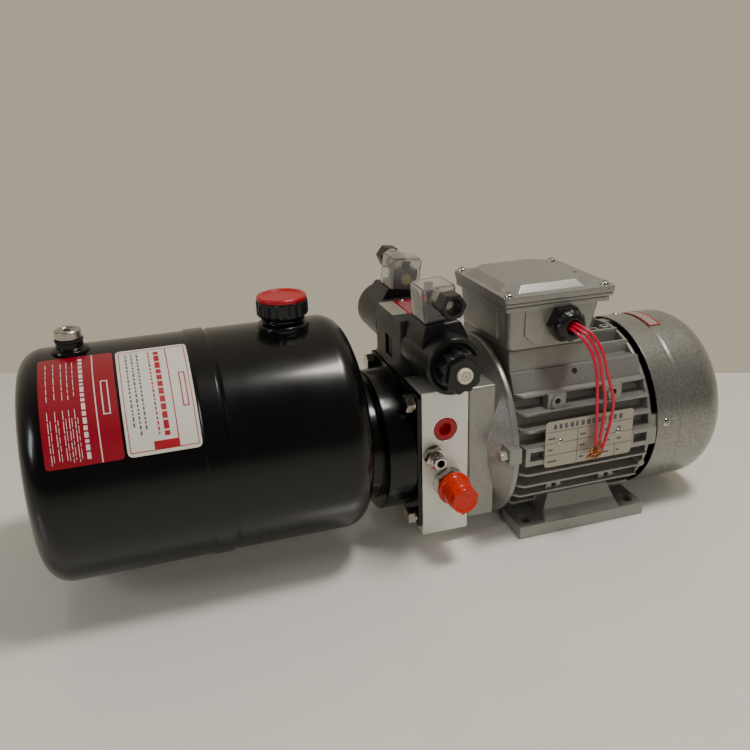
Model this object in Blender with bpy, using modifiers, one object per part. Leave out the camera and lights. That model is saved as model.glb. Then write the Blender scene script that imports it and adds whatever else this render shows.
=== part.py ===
"""Hydraulic power unit: an oil tank, a manifold block with a solenoid valve and a gear pump,
and the foot-mounted electric motor that drives the pump.

Metres, +Z up. The pieces are placed from a datum on the pump and motor shaft's axis:
X = 0 is the manifold block's face on the tank side, Y = 0 is the shaft, Z = 0 is under the feet.
The tank is at -X, the motor at +X, and -Y is the front, where the ports are.
"""
import math

import bmesh
import bpy
from mathutils import Euler, Matrix

# ---------------------------------------------------------------- driving dimensions
GAP = 0.0003                # left between pieces that touch
SHAFT_Z = 0.080             # shaft height of a frame 80 motor

TANK_R, TANK_Z, TANK_WALL = 0.0888, 0.1034, 0.0015
TANK_LEFT, TANK_RIGHT = -0.2924, -0.0430
TANK_LAP = -0.1543          # mouth of the left cup, which is belled over the right one
TANK_SHOULDER = 0.019
FILLER_X, LEVEL_X = -0.0931, -0.2511
TANK_TOP = TANK_Z + TANK_R

NECK_R, NECK_RING_R, NECK_BORE_R = 0.0500, 0.0599, 0.0420
FLANGE_SIDE, FLANGE_T = 0.118, 0.0038
BOLT_OFFSET = 0.0509        # of the four flange bolts from the shaft, along Y and Z

BLOCK_X, BLOCK_Y = 0.0400, 0.0580          # thickness, and half the width
BLOCK_LOW, BLOCK_TOP = 0.0122, 0.1404
PORT_PLUG = (0.0202, 0.1064)               # X and Z of what is on the block's front
ADAPTOR = (0.0099, 0.0850)
OUTLET = (0.0224, 0.0595)
COUPLING_BORE_R, COUPLING_BORE_X = 0.0260, 0.0105

VALVE_X, VALVE_Y, VALVE_Z = 0.0189, 0.0100, 0.1670      # middle of the valve's bore
VALVE_W, VALVE_L = 0.0450, 0.0640
VALVE_TOP = 0.1890
COIL_R, COIL_L = 0.0227, 0.0567
NUT_R, NUT_END = 0.0155, 0.1070            # nut radius, and its end's distance from VALVE_Y
PIN_END = 0.1100
CONNECTOR_W, CONNECTOR_L = 0.0272, 0.0295  # plug connector
PEDESTAL_TOP, CONNECTOR_TOP = 0.1960, 0.2246
BARREL_R, BARREL_L, BARREL_Z = 0.0084, 0.0130, 0.2155
GLAND_NUT_R, GLAND_NUT_L = 0.0101, 0.0140
# name: which way along the bore, the connector's distance from VALVE_Y, the coil's lean in degrees
SOLENOIDS = {"front": (-1, 0.0375, -3.5), "rear": (1, 0.0290, 7.0)}

GEAR_TEETH, GEAR_MODULE = 10, 0.0020
GEAR_PITCH_R = GEAR_TEETH * GEAR_MODULE / 2
GEAR_TIP_R, GEAR_ROOT_R = 0.0116, 0.0076
PUMP_LEFT, PUMP_COVER_LEFT = -0.0345, -0.0445
PUMP_SHAFT_R = 0.0050

MOTOR_FACE, MOTOR_FLANGE_END = BLOCK_X + GAP, 0.0634
SHIELD_R, SHIELD_END = 0.0800, 0.0757
HOUSING_START, HOUSING_END = 0.0760, 0.2030
HOUSING_BORE_R, HOUSING_R, FIN_TIP_R = 0.0605, 0.0655, 0.0785
FIN_PITCH, FIN_T, FINS = 0.0130, 0.0026, 12
COVER_R, COVER_START, COVER_END, COVER_WALL = 0.0778, 0.2064, 0.2807, 0.0012
BEARING_R, BEARING_W = 0.0233, 0.0140
FRONT_BEARING_X, REAR_BEARING_X = 0.0559, 0.2006

FOOT_MIDDLE, FOOT_LENGTH, FOOT_OUTER, FOOT_INNER, FOOT_T = 0.1413, 0.1208, 0.0755, 0.0400, 0.0116
FOOT_HOLE_X, FOOT_HOLE_Y = 0.050, 0.0625   # half of the frame 80 hole spacing, 100 by 125 mm
FOOT_BLOCK_X, FOOT_BLOCK_TOP, FOOT_BLOCK_TAPER = 0.0360, 0.0324, 0.20

LID_X, LID_Y, LID_MIDDLE_X, LID_MIDDLE_Y = 0.1004, 0.1020, 0.1228, -0.0005
BOX_LOW, BOX_FLANGE_Z, GASKET_Z, LID_Z, LID_TOP = 0.1600, 0.1936, 0.1979, 0.2010, 0.2063
PANEL_TOP = 0.2120
GLAND_X, GLAND_Z, GLAND_R = 0.1264, 0.1805, 0.0155
LEAD_R = 0.0013

# Where each loose lead runs, from inside the cable gland to its end.
LEAD_ROUTES = [
    [(0.1240, -0.0600, 0.1790), (0.1244, -0.0690, 0.1790), (0.1275, -0.0770, 0.1745),
     (0.1325, -0.0830, 0.1650), (0.1357, -0.0862, 0.1520), (0.1372, -0.0878, 0.1380),
     (0.1378, -0.0882, 0.1220), (0.1388, -0.0884, 0.1080), (0.1391, -0.0884, 0.0960),
     (0.1393, -0.0884, 0.0840)],
    [(0.1258, -0.0600, 0.1812), (0.1262, -0.0695, 0.1812), (0.1300, -0.0785, 0.1775),
     (0.1355, -0.0845, 0.1670), (0.1387, -0.0875, 0.1550), (0.1411, -0.0885, 0.1417),
     (0.1434, -0.0890, 0.1320), (0.1447, -0.0890, 0.1230), (0.1446, -0.0890, 0.1110),
     (0.1440, -0.0890, 0.1010), (0.1426, -0.0890, 0.0905)],
    [(0.1278, -0.0600, 0.1832), (0.1283, -0.0700, 0.1832), (0.1326, -0.0800, 0.1795),
     (0.1386, -0.0860, 0.1690), (0.1423, -0.0885, 0.1570), (0.1454, -0.0890, 0.1453),
     (0.1494, -0.0895, 0.1330), (0.1520, -0.0895, 0.1226), (0.1518, -0.0895, 0.1110),
     (0.1502, -0.0895, 0.1010), (0.1473, -0.0900, 0.0905), (0.1443, -0.0908, 0.0820)],
]

# The rotation that turns a shape's own +Z to each direction.
QUARTER = math.pi / 2
ALONG = {"+X": (0, QUARTER, 0), "-X": (0, -QUARTER, 0), "+Y": (-QUARTER, 0, 0),
         "-Y": (QUARTER, 0, 0), "+Z": (0, 0, 0)}
OUTLINE_YZ = (QUARTER, 0, QUARTER)         # an outline's X and Y become Y and Z

# name: colour, roughness, metallic
MATERIALS = {
    "black_enamel": ((0.012, 0.012, 0.013), 0.12, 0.0),
    "zinc": ((0.62, 0.62, 0.60), 0.30, 1.0),
    "red_plastic": ((0.55, 0.03, 0.04), 0.30, 0.0),
    "orange_plastic": ((0.90, 0.10, 0.02), 0.25, 0.0),
    "black_plastic": ((0.02, 0.02, 0.022), 0.40, 0.0),
    "black_rubber": ((0.03, 0.03, 0.03), 0.60, 0.0),
    "machined_aluminium": ((0.78, 0.77, 0.75), 0.28, 1.0),
    "cast_aluminium": ((0.55, 0.56, 0.57), 0.42, 0.8),
    "dark_steel": ((0.10, 0.10, 0.11), 0.40, 0.8),
    "steel": ((0.60, 0.60, 0.60), 0.30, 1.0),
    "clear_plastic": ((0.80, 0.82, 0.82), 0.08, 0.0),
    "winding": ((0.45, 0.20, 0.09), 0.45, 0.6),
    "lead_red": ((0.75, 0.01, 0.05), 0.35, 0.0),
}


# ---------------------------------------------------------------- helpers
def clear_scene():
    for obj in list(bpy.data.objects):
        bpy.data.objects.remove(obj, do_unlink=True)


def material(name):
    made = bpy.data.materials.get(name)
    if made is None:
        colour, roughness, metallic = MATERIALS[name]
        made = bpy.data.materials.new(name)
        made.use_nodes = True
        shader = made.node_tree.nodes["Principled BSDF"]
        shader.inputs["Base Color"].default_value = (*colour, 1.0)
        shader.inputs["Roughness"].default_value = roughness
        shader.inputs["Metallic"].default_value = metallic
        made.diffuse_color = (*colour, 1.0)
    return made


def place(name, mesh, slot, at, rotation):
    """An object under the datum. Without a material slot it is a cutter or a guide."""
    obj = bpy.data.objects.new(name, mesh)
    (parts if slot else cutters).objects.link(obj)
    obj.parent = datum
    obj.location = at
    obj.rotation_euler = rotation
    if slot:
        mesh.materials.append(material(slot))
    else:
        obj.hide_render = True
        obj.display_type = "WIRE"
    return obj


def mesh_of(bm, name):
    mesh = bpy.data.meshes.new(name)
    bm.to_mesh(mesh)
    bm.free()
    return mesh


def box(name, slot, low, high, taper=None, corner=0.0):
    """A box between two corners. taper scales its bottom face, corner rounds its upright edges."""
    size = [b - a for a, b in zip(low, high)]
    bm = bmesh.new()
    bmesh.ops.create_cube(bm, size=1.0)
    bmesh.ops.scale(bm, vec=size, verts=bm.verts)
    if corner:
        upright = [e for e in bm.edges if abs(e.verts[0].co.z - e.verts[1].co.z) > size[2] / 2]
        bmesh.ops.bevel(bm, geom=upright, offset=corner, segments=1, affect="EDGES")
    if taper:
        face, factor = taper
        chosen = [v for v in bm.verts if v.co.z * face > 0]
        bmesh.ops.scale(bm, vec=(factor[0], factor[1], 1.0), verts=chosen)
    middle = [(a + b) / 2 for a, b in zip(low, high)]
    return place(name, mesh_of(bm, name), slot, middle, (0, 0, 0))


def rod(name, slot, radius, at, length, along="+X", sides=20):
    """A cylinder, or a prism with few sides, that starts at a point and runs along an axis."""
    bm = bmesh.new()
    made = bmesh.ops.create_cone(bm, cap_ends=True, segments=sides, radius1=radius,
                                 radius2=radius, depth=length)
    bmesh.ops.translate(bm, vec=(0, 0, length / 2), verts=made["verts"])
    return place(name, mesh_of(bm, name), slot, at, ALONG[along])


def rods(name, slot, radius, spots, length, along="+X", sides=16):
    """Several equal cylinders as one object, each starting at its own spot."""
    bm = bmesh.new()
    turn = Euler(ALONG[along]).to_matrix().to_4x4()
    for spot in spots:
        matrix = Matrix.Translation(spot) @ turn @ Matrix.Translation((0, 0, length / 2))
        bmesh.ops.create_cone(bm, cap_ends=True, segments=sides, radius1=radius, radius2=radius,
                              depth=length, matrix=matrix)
    return place(name, mesh_of(bm, name), slot, (0, 0, 0), (0, 0, 0))


def turned(name, slot, profile, at, along="+X", closed=False, steps=28):
    """A profile of (radius, height) turned about its own Z, which then points along an axis.
    The outer side runs from the top down."""
    mesh = bpy.data.meshes.new(name)
    edges = [(i, i + 1) for i in range(len(profile) - 1)]
    if closed:
        edges.append((len(profile) - 1, 0))
    mesh.from_pydata([(r, 0.0, h) for r, h in profile], edges, [])
    obj = place(name, mesh, slot, at, ALONG[along])
    screw = obj.modifiers.new("turn", "SCREW")
    screw.axis = "Z"
    screw.angle = 2 * math.pi
    screw.steps = screw.render_steps = steps
    screw.use_merge_vertices = True
    screw.merge_threshold = 0.00001
    screw.use_smooth_shade = True
    return obj


def plate(name, slot, outlines, at, length, rotation):
    """Flat outlines, the first outer and the rest holes, made into a solid of some length."""
    curve = bpy.data.curves.new(name, "CURVE")
    curve.dimensions = "2D"
    curve.fill_mode = "BOTH"
    curve.extrude = length / 2
    for outline in outlines:
        spline = curve.splines.new("POLY")
        spline.points.add(len(outline) - 1)
        for point, (u, v) in zip(spline.points, outline):
            point.co = (u, v, 0.0, 1.0)
        spline.use_cyclic_u = True
    flat = bpy.data.objects.new(name + "_outline", curve)
    cutters.objects.link(flat)
    bpy.context.view_layer.update()
    mesh = bpy.data.meshes.new_from_object(flat.evaluated_get(
        bpy.context.evaluated_depsgraph_get()))
    bpy.data.objects.remove(flat, do_unlink=True)
    bm = bmesh.new()
    bm.from_mesh(mesh)
    bmesh.ops.remove_doubles(bm, verts=bm.verts, dist=0.000001)
    bmesh.ops.recalc_face_normals(bm, faces=bm.faces)
    bm.to_mesh(mesh)
    bm.free()
    mesh.name = name
    mesh.materials.clear()
    return place(name, mesh, slot, at, rotation)


def combine(obj, tool, operation):
    boolean = obj.modifiers.new(tool.name, "BOOLEAN")
    boolean.operation = operation
    boolean.object = tool
    boolean.solver = "EXACT"


def cut(obj, *tools):
    for tool in tools:
        combine(obj, tool, "DIFFERENCE")


def join(obj, *tools):
    for tool in tools:
        combine(obj, tool, "UNION")


def round_edges(obj, width, segments=1):
    bevel = obj.modifiers.new("edges", "BEVEL")
    bevel.width = width
    bevel.segments = segments
    bevel.limit_method = "ANGLE"
    bevel.angle_limit = math.radians(40)
    return obj


def arc(centre, radius, start, end, steps):
    """Points along an arc, in degrees."""
    turn = [math.radians(start + (end - start) * i / steps) for i in range(steps + 1)]
    return [(centre[0] + radius * math.cos(a), centre[1] + radius * math.sin(a)) for a in turn]


def stadium(half_width, half_straight, centre=(0.0, 0.0), steps=6):
    """A slot's outline, long along its second axis."""
    u, v = centre
    top = arc((u, v + half_straight), half_width, 0, 180, steps)
    return top + arc((u, v - half_straight), half_width, 180, 360, steps)


def spun(outline, angle):
    """An outline turned about its origin."""
    c, s = math.cos(angle), math.sin(angle)
    return [(u * c - v * s, u * s + v * c) for u, v in outline]


def ring(name, slot, outer, inner, at, length, along, steps=24):
    """A plain ring that starts at a point and runs along an axis."""
    profile = [(outer, length), (outer, 0.0), (inner, 0.0), (inner, length)]
    return turned(name, slot, profile, at, along, closed=True, steps=steps)


# ---------------------------------------------------------------- tank
def cup_profile(end, mouth, stations):
    """A drawn cup. Heights run up from its closed end to its mouth, and stations are the
    (radius, height) points of its outer side from the mouth down to the straight wall."""
    crown = 0.0015
    outer = arc((TANK_R - TANK_SHOULDER, end + crown + TANK_SHOULDER), TANK_SHOULDER, 0, -90, 4)
    inner_r = TANK_R - TANK_WALL
    inner_shoulder = TANK_SHOULDER - TANK_WALL
    inner = arc((inner_r - inner_shoulder, end + crown + TANK_SHOULDER), inner_shoulder,
                -90, 0, 3)
    inner_mouth = stations[0][0] - (0.0020 if stations[0][0] > TANK_R else TANK_WALL)
    lip = [(inner_mouth, stations[-1][1]), (inner_mouth, mouth)]
    return [(0.0, end + TANK_WALL), *inner, *lip, *stations, *outer, (0.0, end)]


def make_tank():
    band, band_end, joggle, tuck = TANK_R + 0.0010, -0.1695, -0.1525, 0.0100
    left = turned("tank_left_shell", "black_enamel", cup_profile(
        TANK_LEFT, TANK_LAP,
        [(band, TANK_LAP), (band, band_end), (TANK_R, band_end - 0.0010)]),
        (0, 0, TANK_Z), "+X", steps=40)
    right = turned("tank_right_shell", "black_enamel", cup_profile(
        -TANK_RIGHT, -TANK_LAP + tuck,
        [(TANK_R - 0.0013, -TANK_LAP + tuck), (TANK_R - 0.0013, -joggle), (TANK_R, -joggle - 0.0020)]),
        (0, 0, TANK_Z), "-X", steps=40)
    cut(left, rod("level_hole", None, 0.0070, (LEVEL_X, 0, TANK_TOP - 0.010), 0.020, "+Z"))
    cut(right, rod("filler_hole", None, 0.0130, (FILLER_X, 0, TANK_TOP - 0.010), 0.020, "+Z"))
    cut(right, rod("neck_hole", None, NECK_BORE_R, (TANK_RIGHT - 0.030, 0, SHAFT_Z), 0.050))

    neck = box("tank_neck", "black_enamel",
               (-FLANGE_T - GAP, -FLANGE_SIDE / 2, SHAFT_Z - FLANGE_SIDE / 2),
               (-GAP, FLANGE_SIDE / 2, SHAFT_Z + FLANGE_SIDE / 2))
    round_edges(neck, 0.0010)
    ring_left, flange_left = -0.0273, -FLANGE_T - GAP
    join(neck, turned("neck_turned", None, [
        (0.0, flange_left + 0.001), (NECK_RING_R, flange_left + 0.001), (NECK_RING_R, ring_left),
        (NECK_R, ring_left), (NECK_R, TANK_RIGHT + GAP), (0.0, TANK_RIGHT + GAP)],
        (0, 0, SHAFT_Z), steps=32))
    cut(neck, rod("neck_bore", None, NECK_BORE_R, (-0.060, 0, SHAFT_Z), 0.062, sides=32))
    return neck


def hex_bolt_mesh():
    """An M8 hex bolt with its spring washer, head towards its own +Z."""
    head = rod("bolt_head", "zinc", 0.0075, (0, 0, 0), 0.0055, "+Z", sides=6)
    head.location = (0, 0, 0.0020)
    shank = [(0.0, 0.0021), (0.0065, 0.0021), (0.0065, 0.0), (0.0040, 0.0), (0.0040, -0.0200),
             (0.0, -0.0200)]
    join(head, turned("bolt_shank", None, shank, (0, 0, 0), "+Z", steps=14))
    bpy.context.view_layer.update()
    mesh = bpy.data.meshes.new_from_object(head.evaluated_get(
        bpy.context.evaluated_depsgraph_get()))
    bm = bmesh.new()
    bm.from_mesh(mesh)
    bmesh.ops.translate(bm, vec=(0, 0, 0.0020), verts=bm.verts)
    bm.to_mesh(mesh)
    bm.free()
    bpy.data.objects.remove(head, do_unlink=True)
    return mesh


def make_flange_bolts(neck, block):
    mesh = hex_bolt_mesh()
    seat = -FLANGE_T - 2 * GAP
    corners = [(side * BOLT_OFFSET, SHAFT_Z + level * BOLT_OFFSET)
               for level in (-1, 1) for side in (-1, 1)]
    for number, (y, z) in enumerate(corners, 1):
        bolt = bpy.data.objects.new(f"flange_bolt_{number}", mesh)
        parts.objects.link(bolt)
        bolt.parent = datum
        bolt.location = (seat, y, z)
        bolt.rotation_euler = ALONG["-X"]
    holes = rods("bolt_holes", None, 0.0043, [(-0.010, y, z) for y, z in corners], 0.028, sides=14)
    cut(neck, holes)
    cut(block, holes)


def make_filler():
    saddle = rod("tank_outside", None, TANK_R + GAP, (TANK_LEFT, 0, TANK_Z),
                 TANK_RIGHT - TANK_LEFT, sides=80)
    bung = turned("filler_bung", "black_enamel", [
        (0.0150, 0.1990), (0.0170, 0.1985), (0.0170, 0.1965), (0.0155, 0.1960), (0.0155, 0.1958),
        (0.0205, 0.1950), (0.0205, 0.1840), (0.0130, 0.1840), (0.0130, 0.1990)],
        (FILLER_X, 0, 0), "+Z", closed=True, steps=24)
    cut(bung, saddle)
    ring("filler_seal", "black_rubber", 0.0160, 0.0131, (FILLER_X, 0, 0.1993), 0.0012, "+Z")
    turned("filler_cap", "black_plastic", [
        (0.0, 0.2150), (0.0168, 0.2150), (0.0172, 0.2160), (0.0192, 0.2160), (0.0202, 0.2150),
        (0.0202, 0.2008), (0.0125, 0.2008), (0.0125, 0.1880), (0.0, 0.1880)],
        (FILLER_X, 0, 0), "+Z", steps=32)

    low_bung = turned("level_bung", "black_enamel", [
        (0.0098, 0.1995), (0.0098, 0.1955), (0.0138, 0.1948), (0.0138, 0.1860),
        (0.0070, 0.1860), (0.0070, 0.1995)], (LEVEL_X, 0, 0), "+Z", closed=True, steps=20)
    cut(low_bung, saddle)
    ring("level_seal", "black_rubber", 0.0102, 0.0068, (LEVEL_X, 0, 0.1998), 0.0014, "+Z", 20)
    turned("level_plug", "zinc", [
        (0.0, 0.2074), (0.0050, 0.2074), (0.0056, 0.2084), (0.0085, 0.2084), (0.0094, 0.2074),
        (0.0094, 0.2015), (0.0065, 0.2015), (0.0065, 0.1890), (0.0, 0.1890)],
        (LEVEL_X, 0, 0), "+Z", steps=20)


# ---------------------------------------------------------------- manifold block and ports
def make_block():
    block = box("manifold_block", "machined_aluminium",
                (0, -BLOCK_Y, BLOCK_LOW), (BLOCK_X, BLOCK_Y, BLOCK_TOP))
    round_edges(block, 0.0010)
    front = -BLOCK_Y - 0.001
    cut(block,
        rod("coupling_bore", None, COUPLING_BORE_R, (COUPLING_BORE_X, 0, SHAFT_Z), 0.040, sides=28),
        rod("pump_shaft_hole", None, 0.0062, (-0.001, 0, SHAFT_Z), 0.020),
        turned("plug_hole", None, [
            (0.0, 0.025), (0.0055, 0.025), (0.0055, 0.0105), (0.0100, 0.0105), (0.0100, 0.0),
            (0.0, 0.0)], (PORT_PLUG[0], front, PORT_PLUG[1]), "+Y", steps=20),
        rod("adaptor_hole", None, 0.0065, (ADAPTOR[0], front, ADAPTOR[1]), 0.014, "+Y"),
        rod("outlet_hole", None, 0.0105, (OUTLET[0], front, OUTLET[1]), 0.014, "+Y"))
    return block


def hex_fitting(name, centre, hex_r, hex_end, tip, stem_r, bore_r):
    """A fitting screwed into the block's front: a hexagon, a turned tip and a bored stem."""
    x, z = centre
    start = BLOCK_Y + GAP
    fitting = rod(name, "zinc", hex_r, (x, -start, z), hex_end - start, "-Y", sides=6)
    deepest = BLOCK_Y - 0.012
    outline = [(0.0, tip[0][1]), *tip, (stem_r, hex_end - 0.0005), (stem_r, deepest), (0.0, deepest)]
    join(fitting, turned(name + "_turned", None, outline, (x, 0, z), "-Y", steps=16))
    cut(fitting, rod(name + "_bore", None, bore_r, (x, -deepest + 0.001, z), 0.050, "-Y", 14))
    return fitting


def make_ports():
    x, z = PORT_PLUG
    ring("port_plug", "red_plastic", 0.0097, 0.0048, (x, -BLOCK_Y + 0.0010, z), 0.0080, "+Y", 20)
    hex_fitting("gauge_adaptor", ADAPTOR, 0.0092, 0.0660, [
        (0.0045, 0.0740), (0.0045, 0.0700), (0.0062, 0.0690), (0.0062, 0.0655)], 0.0062, 0.0032)
    hex_fitting("outlet_fitting", OUTLET, 0.0135, 0.0660, [
        (0.0085, 0.0850), (0.0085, 0.0655)], 0.0100, 0.0050)
    x, z = OUTLET
    turned("outlet_cap", "orange_plastic", [
        (0.0, 0.0940), (0.0100, 0.0940), (0.0108, 0.0932), (0.0108, 0.0860), (0.0118, 0.0850),
        (0.0118, 0.0727), (0.0140, 0.0725), (0.0140, 0.0700), (0.0089, 0.0700), (0.0089, 0.0880),
        (0.0, 0.0880)], (x, 0, z), "-Y", steps=24)


# ---------------------------------------------------------------- solenoid valve
def make_valve():
    low, high = VALVE_Y - VALVE_L / 2, VALVE_Y + VALVE_L / 2
    left, right = VALVE_X - VALVE_W / 2, VALVE_X + VALVE_W / 2
    body = box("valve_body", "dark_steel", (left, low, BLOCK_TOP + GAP), (right, high, VALVE_TOP))
    round_edges(body, 0.0012)
    cut(body,
        rod("valve_bore", None, 0.0065, (VALVE_X, low - 0.001, VALVE_Z), VALVE_L + 0.002, "+Y"),
        box("valve_window", None, (left - 0.001, 0.0005, 0.1500), (left + 0.0020, 0.0180, 0.1680)))
    land, waist, half = 0.0060, 0.0038, 0.0280
    turned("valve_spool", "steel", [
        (0.0, half), (land, half), (land, 0.020), (waist, 0.019), (waist, 0.011), (land, 0.010),
        (land, -0.010), (waist, -0.011), (waist, -0.019), (land, -0.020), (land, -half),
        (0.0, -half)], (VALVE_X, VALVE_Y, VALVE_Z), "+Y", steps=14)
    for name, (side, connector, lean) in SOLENOIDS.items():
        make_solenoid(name, side)
        make_connector(name, side, connector, lean)


def lean_over(pieces, lean):
    """Turns pieces about the valve's bore, as a coil turns on its core tube."""
    turn = Matrix.Rotation(math.radians(lean), 4, "Y")
    axis = Matrix.Translation((VALVE_X, VALVE_Y, VALVE_Z))
    for piece in pieces:
        placed = Matrix.LocRotScale(piece.location, piece.rotation_euler, None)
        leaning = axis @ turn @ axis.inverted() @ placed
        piece.location = leaning.to_translation()
        piece.rotation_euler = leaning.to_euler()


def make_solenoid(name, side):
    """One end of the valve: coil, core tube, nut and override pin.
    Heights are distances from the middle of the valve along its bore."""
    along = "-Y" if side < 0 else "+Y"
    at = (VALVE_X, VALVE_Y, VALVE_Z)
    start = VALVE_L / 2 + GAP
    end = start + COIL_L
    coil = turned(f"coil_{name}", "black_plastic", [
        (0.0200, end), (COIL_R, end - 0.002), (COIL_R, start), (0.0091, start), (0.0091, end)],
        at, along, closed=True, steps=32)
    near, far = sorted((VALVE_Y + side * 0.0340, VALVE_Y + side * 0.0700))
    pedestal = box(f"pedestal_{name}", None, (VALVE_X - 0.0135, near, VALVE_Z + 0.0130),
                   (VALVE_X + 0.0135, far, PEDESTAL_TOP), taper=(-1, (1.10, 1.0)))
    lean_over([pedestal], SOLENOIDS[name][2])
    join(coil, pedestal)
    cut(coil, rod(f"coil_bore_{name}", None, 0.0091, (VALVE_X, VALVE_Y, VALVE_Z), 0.110, along))

    turned(f"core_tube_{name}", "steel", [
        (0.0088, 0.1010), (0.0088, start), (0.0062, start), (0.0062, 0.0800), (0.0028, 0.0800),
        (0.0028, 0.1010)], at, along, closed=True, steps=14)
    turned(f"coil_nut_{name}", "black_plastic", [
        (0.0135, NUT_END), (NUT_R, NUT_END - 0.002), (NUT_R, end + GAP), (0.0092, end + GAP),
        (0.0092, 0.1013), (0.0065, 0.1013), (0.0065, NUT_END)], at, along, closed=True, steps=24)
    head = PIN_END - 0.0050
    turned(f"override_pin_{name}", "steel", [
        (0.0, PIN_END), (0.0052, PIN_END), (0.0060, PIN_END - 0.0008), (0.0060, head),
        (0.0024, head), (0.0024, 0.0780), (0.0, 0.0780)], at, along, steps=14)


def make_connector(name, side, start, lean):
    """The plug connector on a coil: clear shell with its barrel, terminal insert, gland nut."""
    along = "-Y" if side < 0 else "+Y"
    half, wall = CONNECTOR_W / 2, 0.0018
    face = start + CONNECTOR_L
    near, far = sorted((VALVE_Y + side * start, VALVE_Y + side * face))
    bottom = PEDESTAL_TOP + GAP

    def on_axis(distance):
        return (VALVE_X, VALVE_Y + side * distance, BARREL_Z)

    shell = box(f"connector_shell_{name}", "clear_plastic", (VALVE_X - half, near, bottom),
                (VALVE_X + half, far, CONNECTOR_TOP), corner=0.0020)
    barrel = rod(f"connector_barrel_{name}", None, BARREL_R, on_axis(face - 0.008), BARREL_L + 0.008,
                 along)
    inner = box(f"connector_hollow_{name}", None,
                (VALVE_X - half + wall, near + wall, bottom - 0.001),
                (VALVE_X + half - wall, far - wall, CONNECTOR_TOP - wall))
    bore = rod(f"connector_bore_{name}", None, 0.0062, on_axis(face - 0.010), 0.030, along, 14)
    join(shell, barrel)
    cut(shell, inner, bore)
    insert = box(f"connector_insert_{name}", "black_plastic",
                 (VALVE_X - half + 0.0035, near + 0.0035, bottom),
                 (VALVE_X + half - 0.0035, far - 0.0035, bottom + 0.0060))
    nut = rod(f"connector_nut_{name}", "black_plastic", GLAND_NUT_R, on_axis(face + BARREL_L + GAP),
              GLAND_NUT_L, along, sides=6)
    nut.data.transform(Matrix.Rotation(math.radians(30), 4, "Z"))
    nut_bore = rod(f"connector_nut_bore_{name}", None, 0.0055, on_axis(face), 0.040, along, 14)
    cut(nut, nut_bore)
    lean_over([shell, barrel, inner, bore, insert, nut, nut_bore], lean)


# ---------------------------------------------------------------- gear pump
def gear_outline(turn):
    """Involute teeth with a little backlash, one tooth centred on the direction turn."""
    pressure = math.radians(20)
    base_r = GEAR_PITCH_R * math.cos(pressure)

    def roll(radius):
        angle = math.acos(min(1.0, base_r / radius))
        return math.tan(angle) - angle

    half_pitch = math.pi / (2 * GEAR_TEETH) - 0.020 + roll(GEAR_PITCH_R)
    flank = [base_r + (GEAR_TIP_R - base_r) * i / 3 for i in range(4)]
    side = [(GEAR_ROOT_R, half_pitch)] + [(r, half_pitch - roll(r)) for r in flank]
    outline = []
    for tooth in range(GEAR_TEETH):
        middle = turn + 2 * math.pi * tooth / GEAR_TEETH
        steps = [(r, middle - a) for r, a in side] + [(r, middle + a) for r, a in reversed(side)]
        outline += [(r * math.cos(a), r * math.sin(a)) for r, a in steps]
    return outline


def make_pump():
    outline = stadium(0.0200, GEAR_PITCH_R)
    low_z = SHAFT_Z - 2 * GEAR_PITCH_R
    middle_z = SHAFT_Z - GEAR_PITCH_R
    length = -GAP - PUMP_LEFT
    body = plate("pump_body", "cast_aluminium", [outline], (PUMP_LEFT + length / 2, 0, middle_z),
                 length, OUTLINE_YZ)
    pocket = 0.0225
    for name, z in (("drive", SHAFT_Z), ("idler", low_z)):
        cut(body,
            rod(f"pocket_{name}", None, GEAR_TIP_R + 0.0003, (PUMP_LEFT - 0.001, 0, z),
                pocket + 0.001, sides=28))
    cut(body, rod("drive_hole", None, 0.0054, (PUMP_LEFT, 0, SHAFT_Z), 0.050, sides=14),
        rod("idler_hole", None, 0.0054, (PUMP_LEFT, 0, low_z), 0.0300, sides=14))
    length = PUMP_LEFT - GAP - PUMP_COVER_LEFT
    cover = plate("pump_cover", "cast_aluminium", [outline],
                  (PUMP_COVER_LEFT + length / 2, 0, middle_z), length, OUTLINE_YZ)
    cut(cover,
        rod("drive_seat", None, 0.0054, (PUMP_LEFT - 0.0060, 0, SHAFT_Z), 0.010, sides=14),
        rod("idler_seat", None, 0.0054, (PUMP_LEFT - 0.0060, 0, low_z), 0.010, sides=14),
        rod("suction_hole", None, 0.0035, (PUMP_COVER_LEFT - 0.001, 0.0125, middle_z), 0.020,
            sides=12))
    width = pocket - 0.0006
    gears = (("pump_drive_gear", SHAFT_Z, 0.0250, QUARTER),
             ("pump_idler_gear", low_z, PUMP_LEFT + 0.0290, QUARTER + math.pi / GEAR_TEETH))
    for name, z, shaft_end, turn in gears:
        gear = plate(name, "steel", [gear_outline(turn)], (PUMP_LEFT + 0.0003 + width / 2, 0, z),
                     width, OUTLINE_YZ)
        shaft_start = PUMP_LEFT - 0.0055
        join(gear, rod(name + "_shaft", None, PUMP_SHAFT_R, (shaft_start, 0, z),
                       shaft_end - shaft_start, sides=14))
    turned("suction_strainer", "steel", [
        (0.0, 0.0), (0.0070, 0.0), (0.0070, -0.0280), (0.0190, -0.0300), (0.0190, -0.0880),
        (0.0, -0.0880)], (PUMP_COVER_LEFT - GAP, 0.0125, middle_z), steps=18)
    turned("shaft_coupling", "steel", [
        (0.0200, 0.0510), (0.0210, 0.0500), (0.0210, 0.0130), (0.0200, 0.0120), (0.0054, 0.0120),
        (0.0054, 0.0300), (0.0099, 0.0305), (0.0099, 0.0510)], (0, 0, SHAFT_Z), closed=True,
        steps=16)


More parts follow.
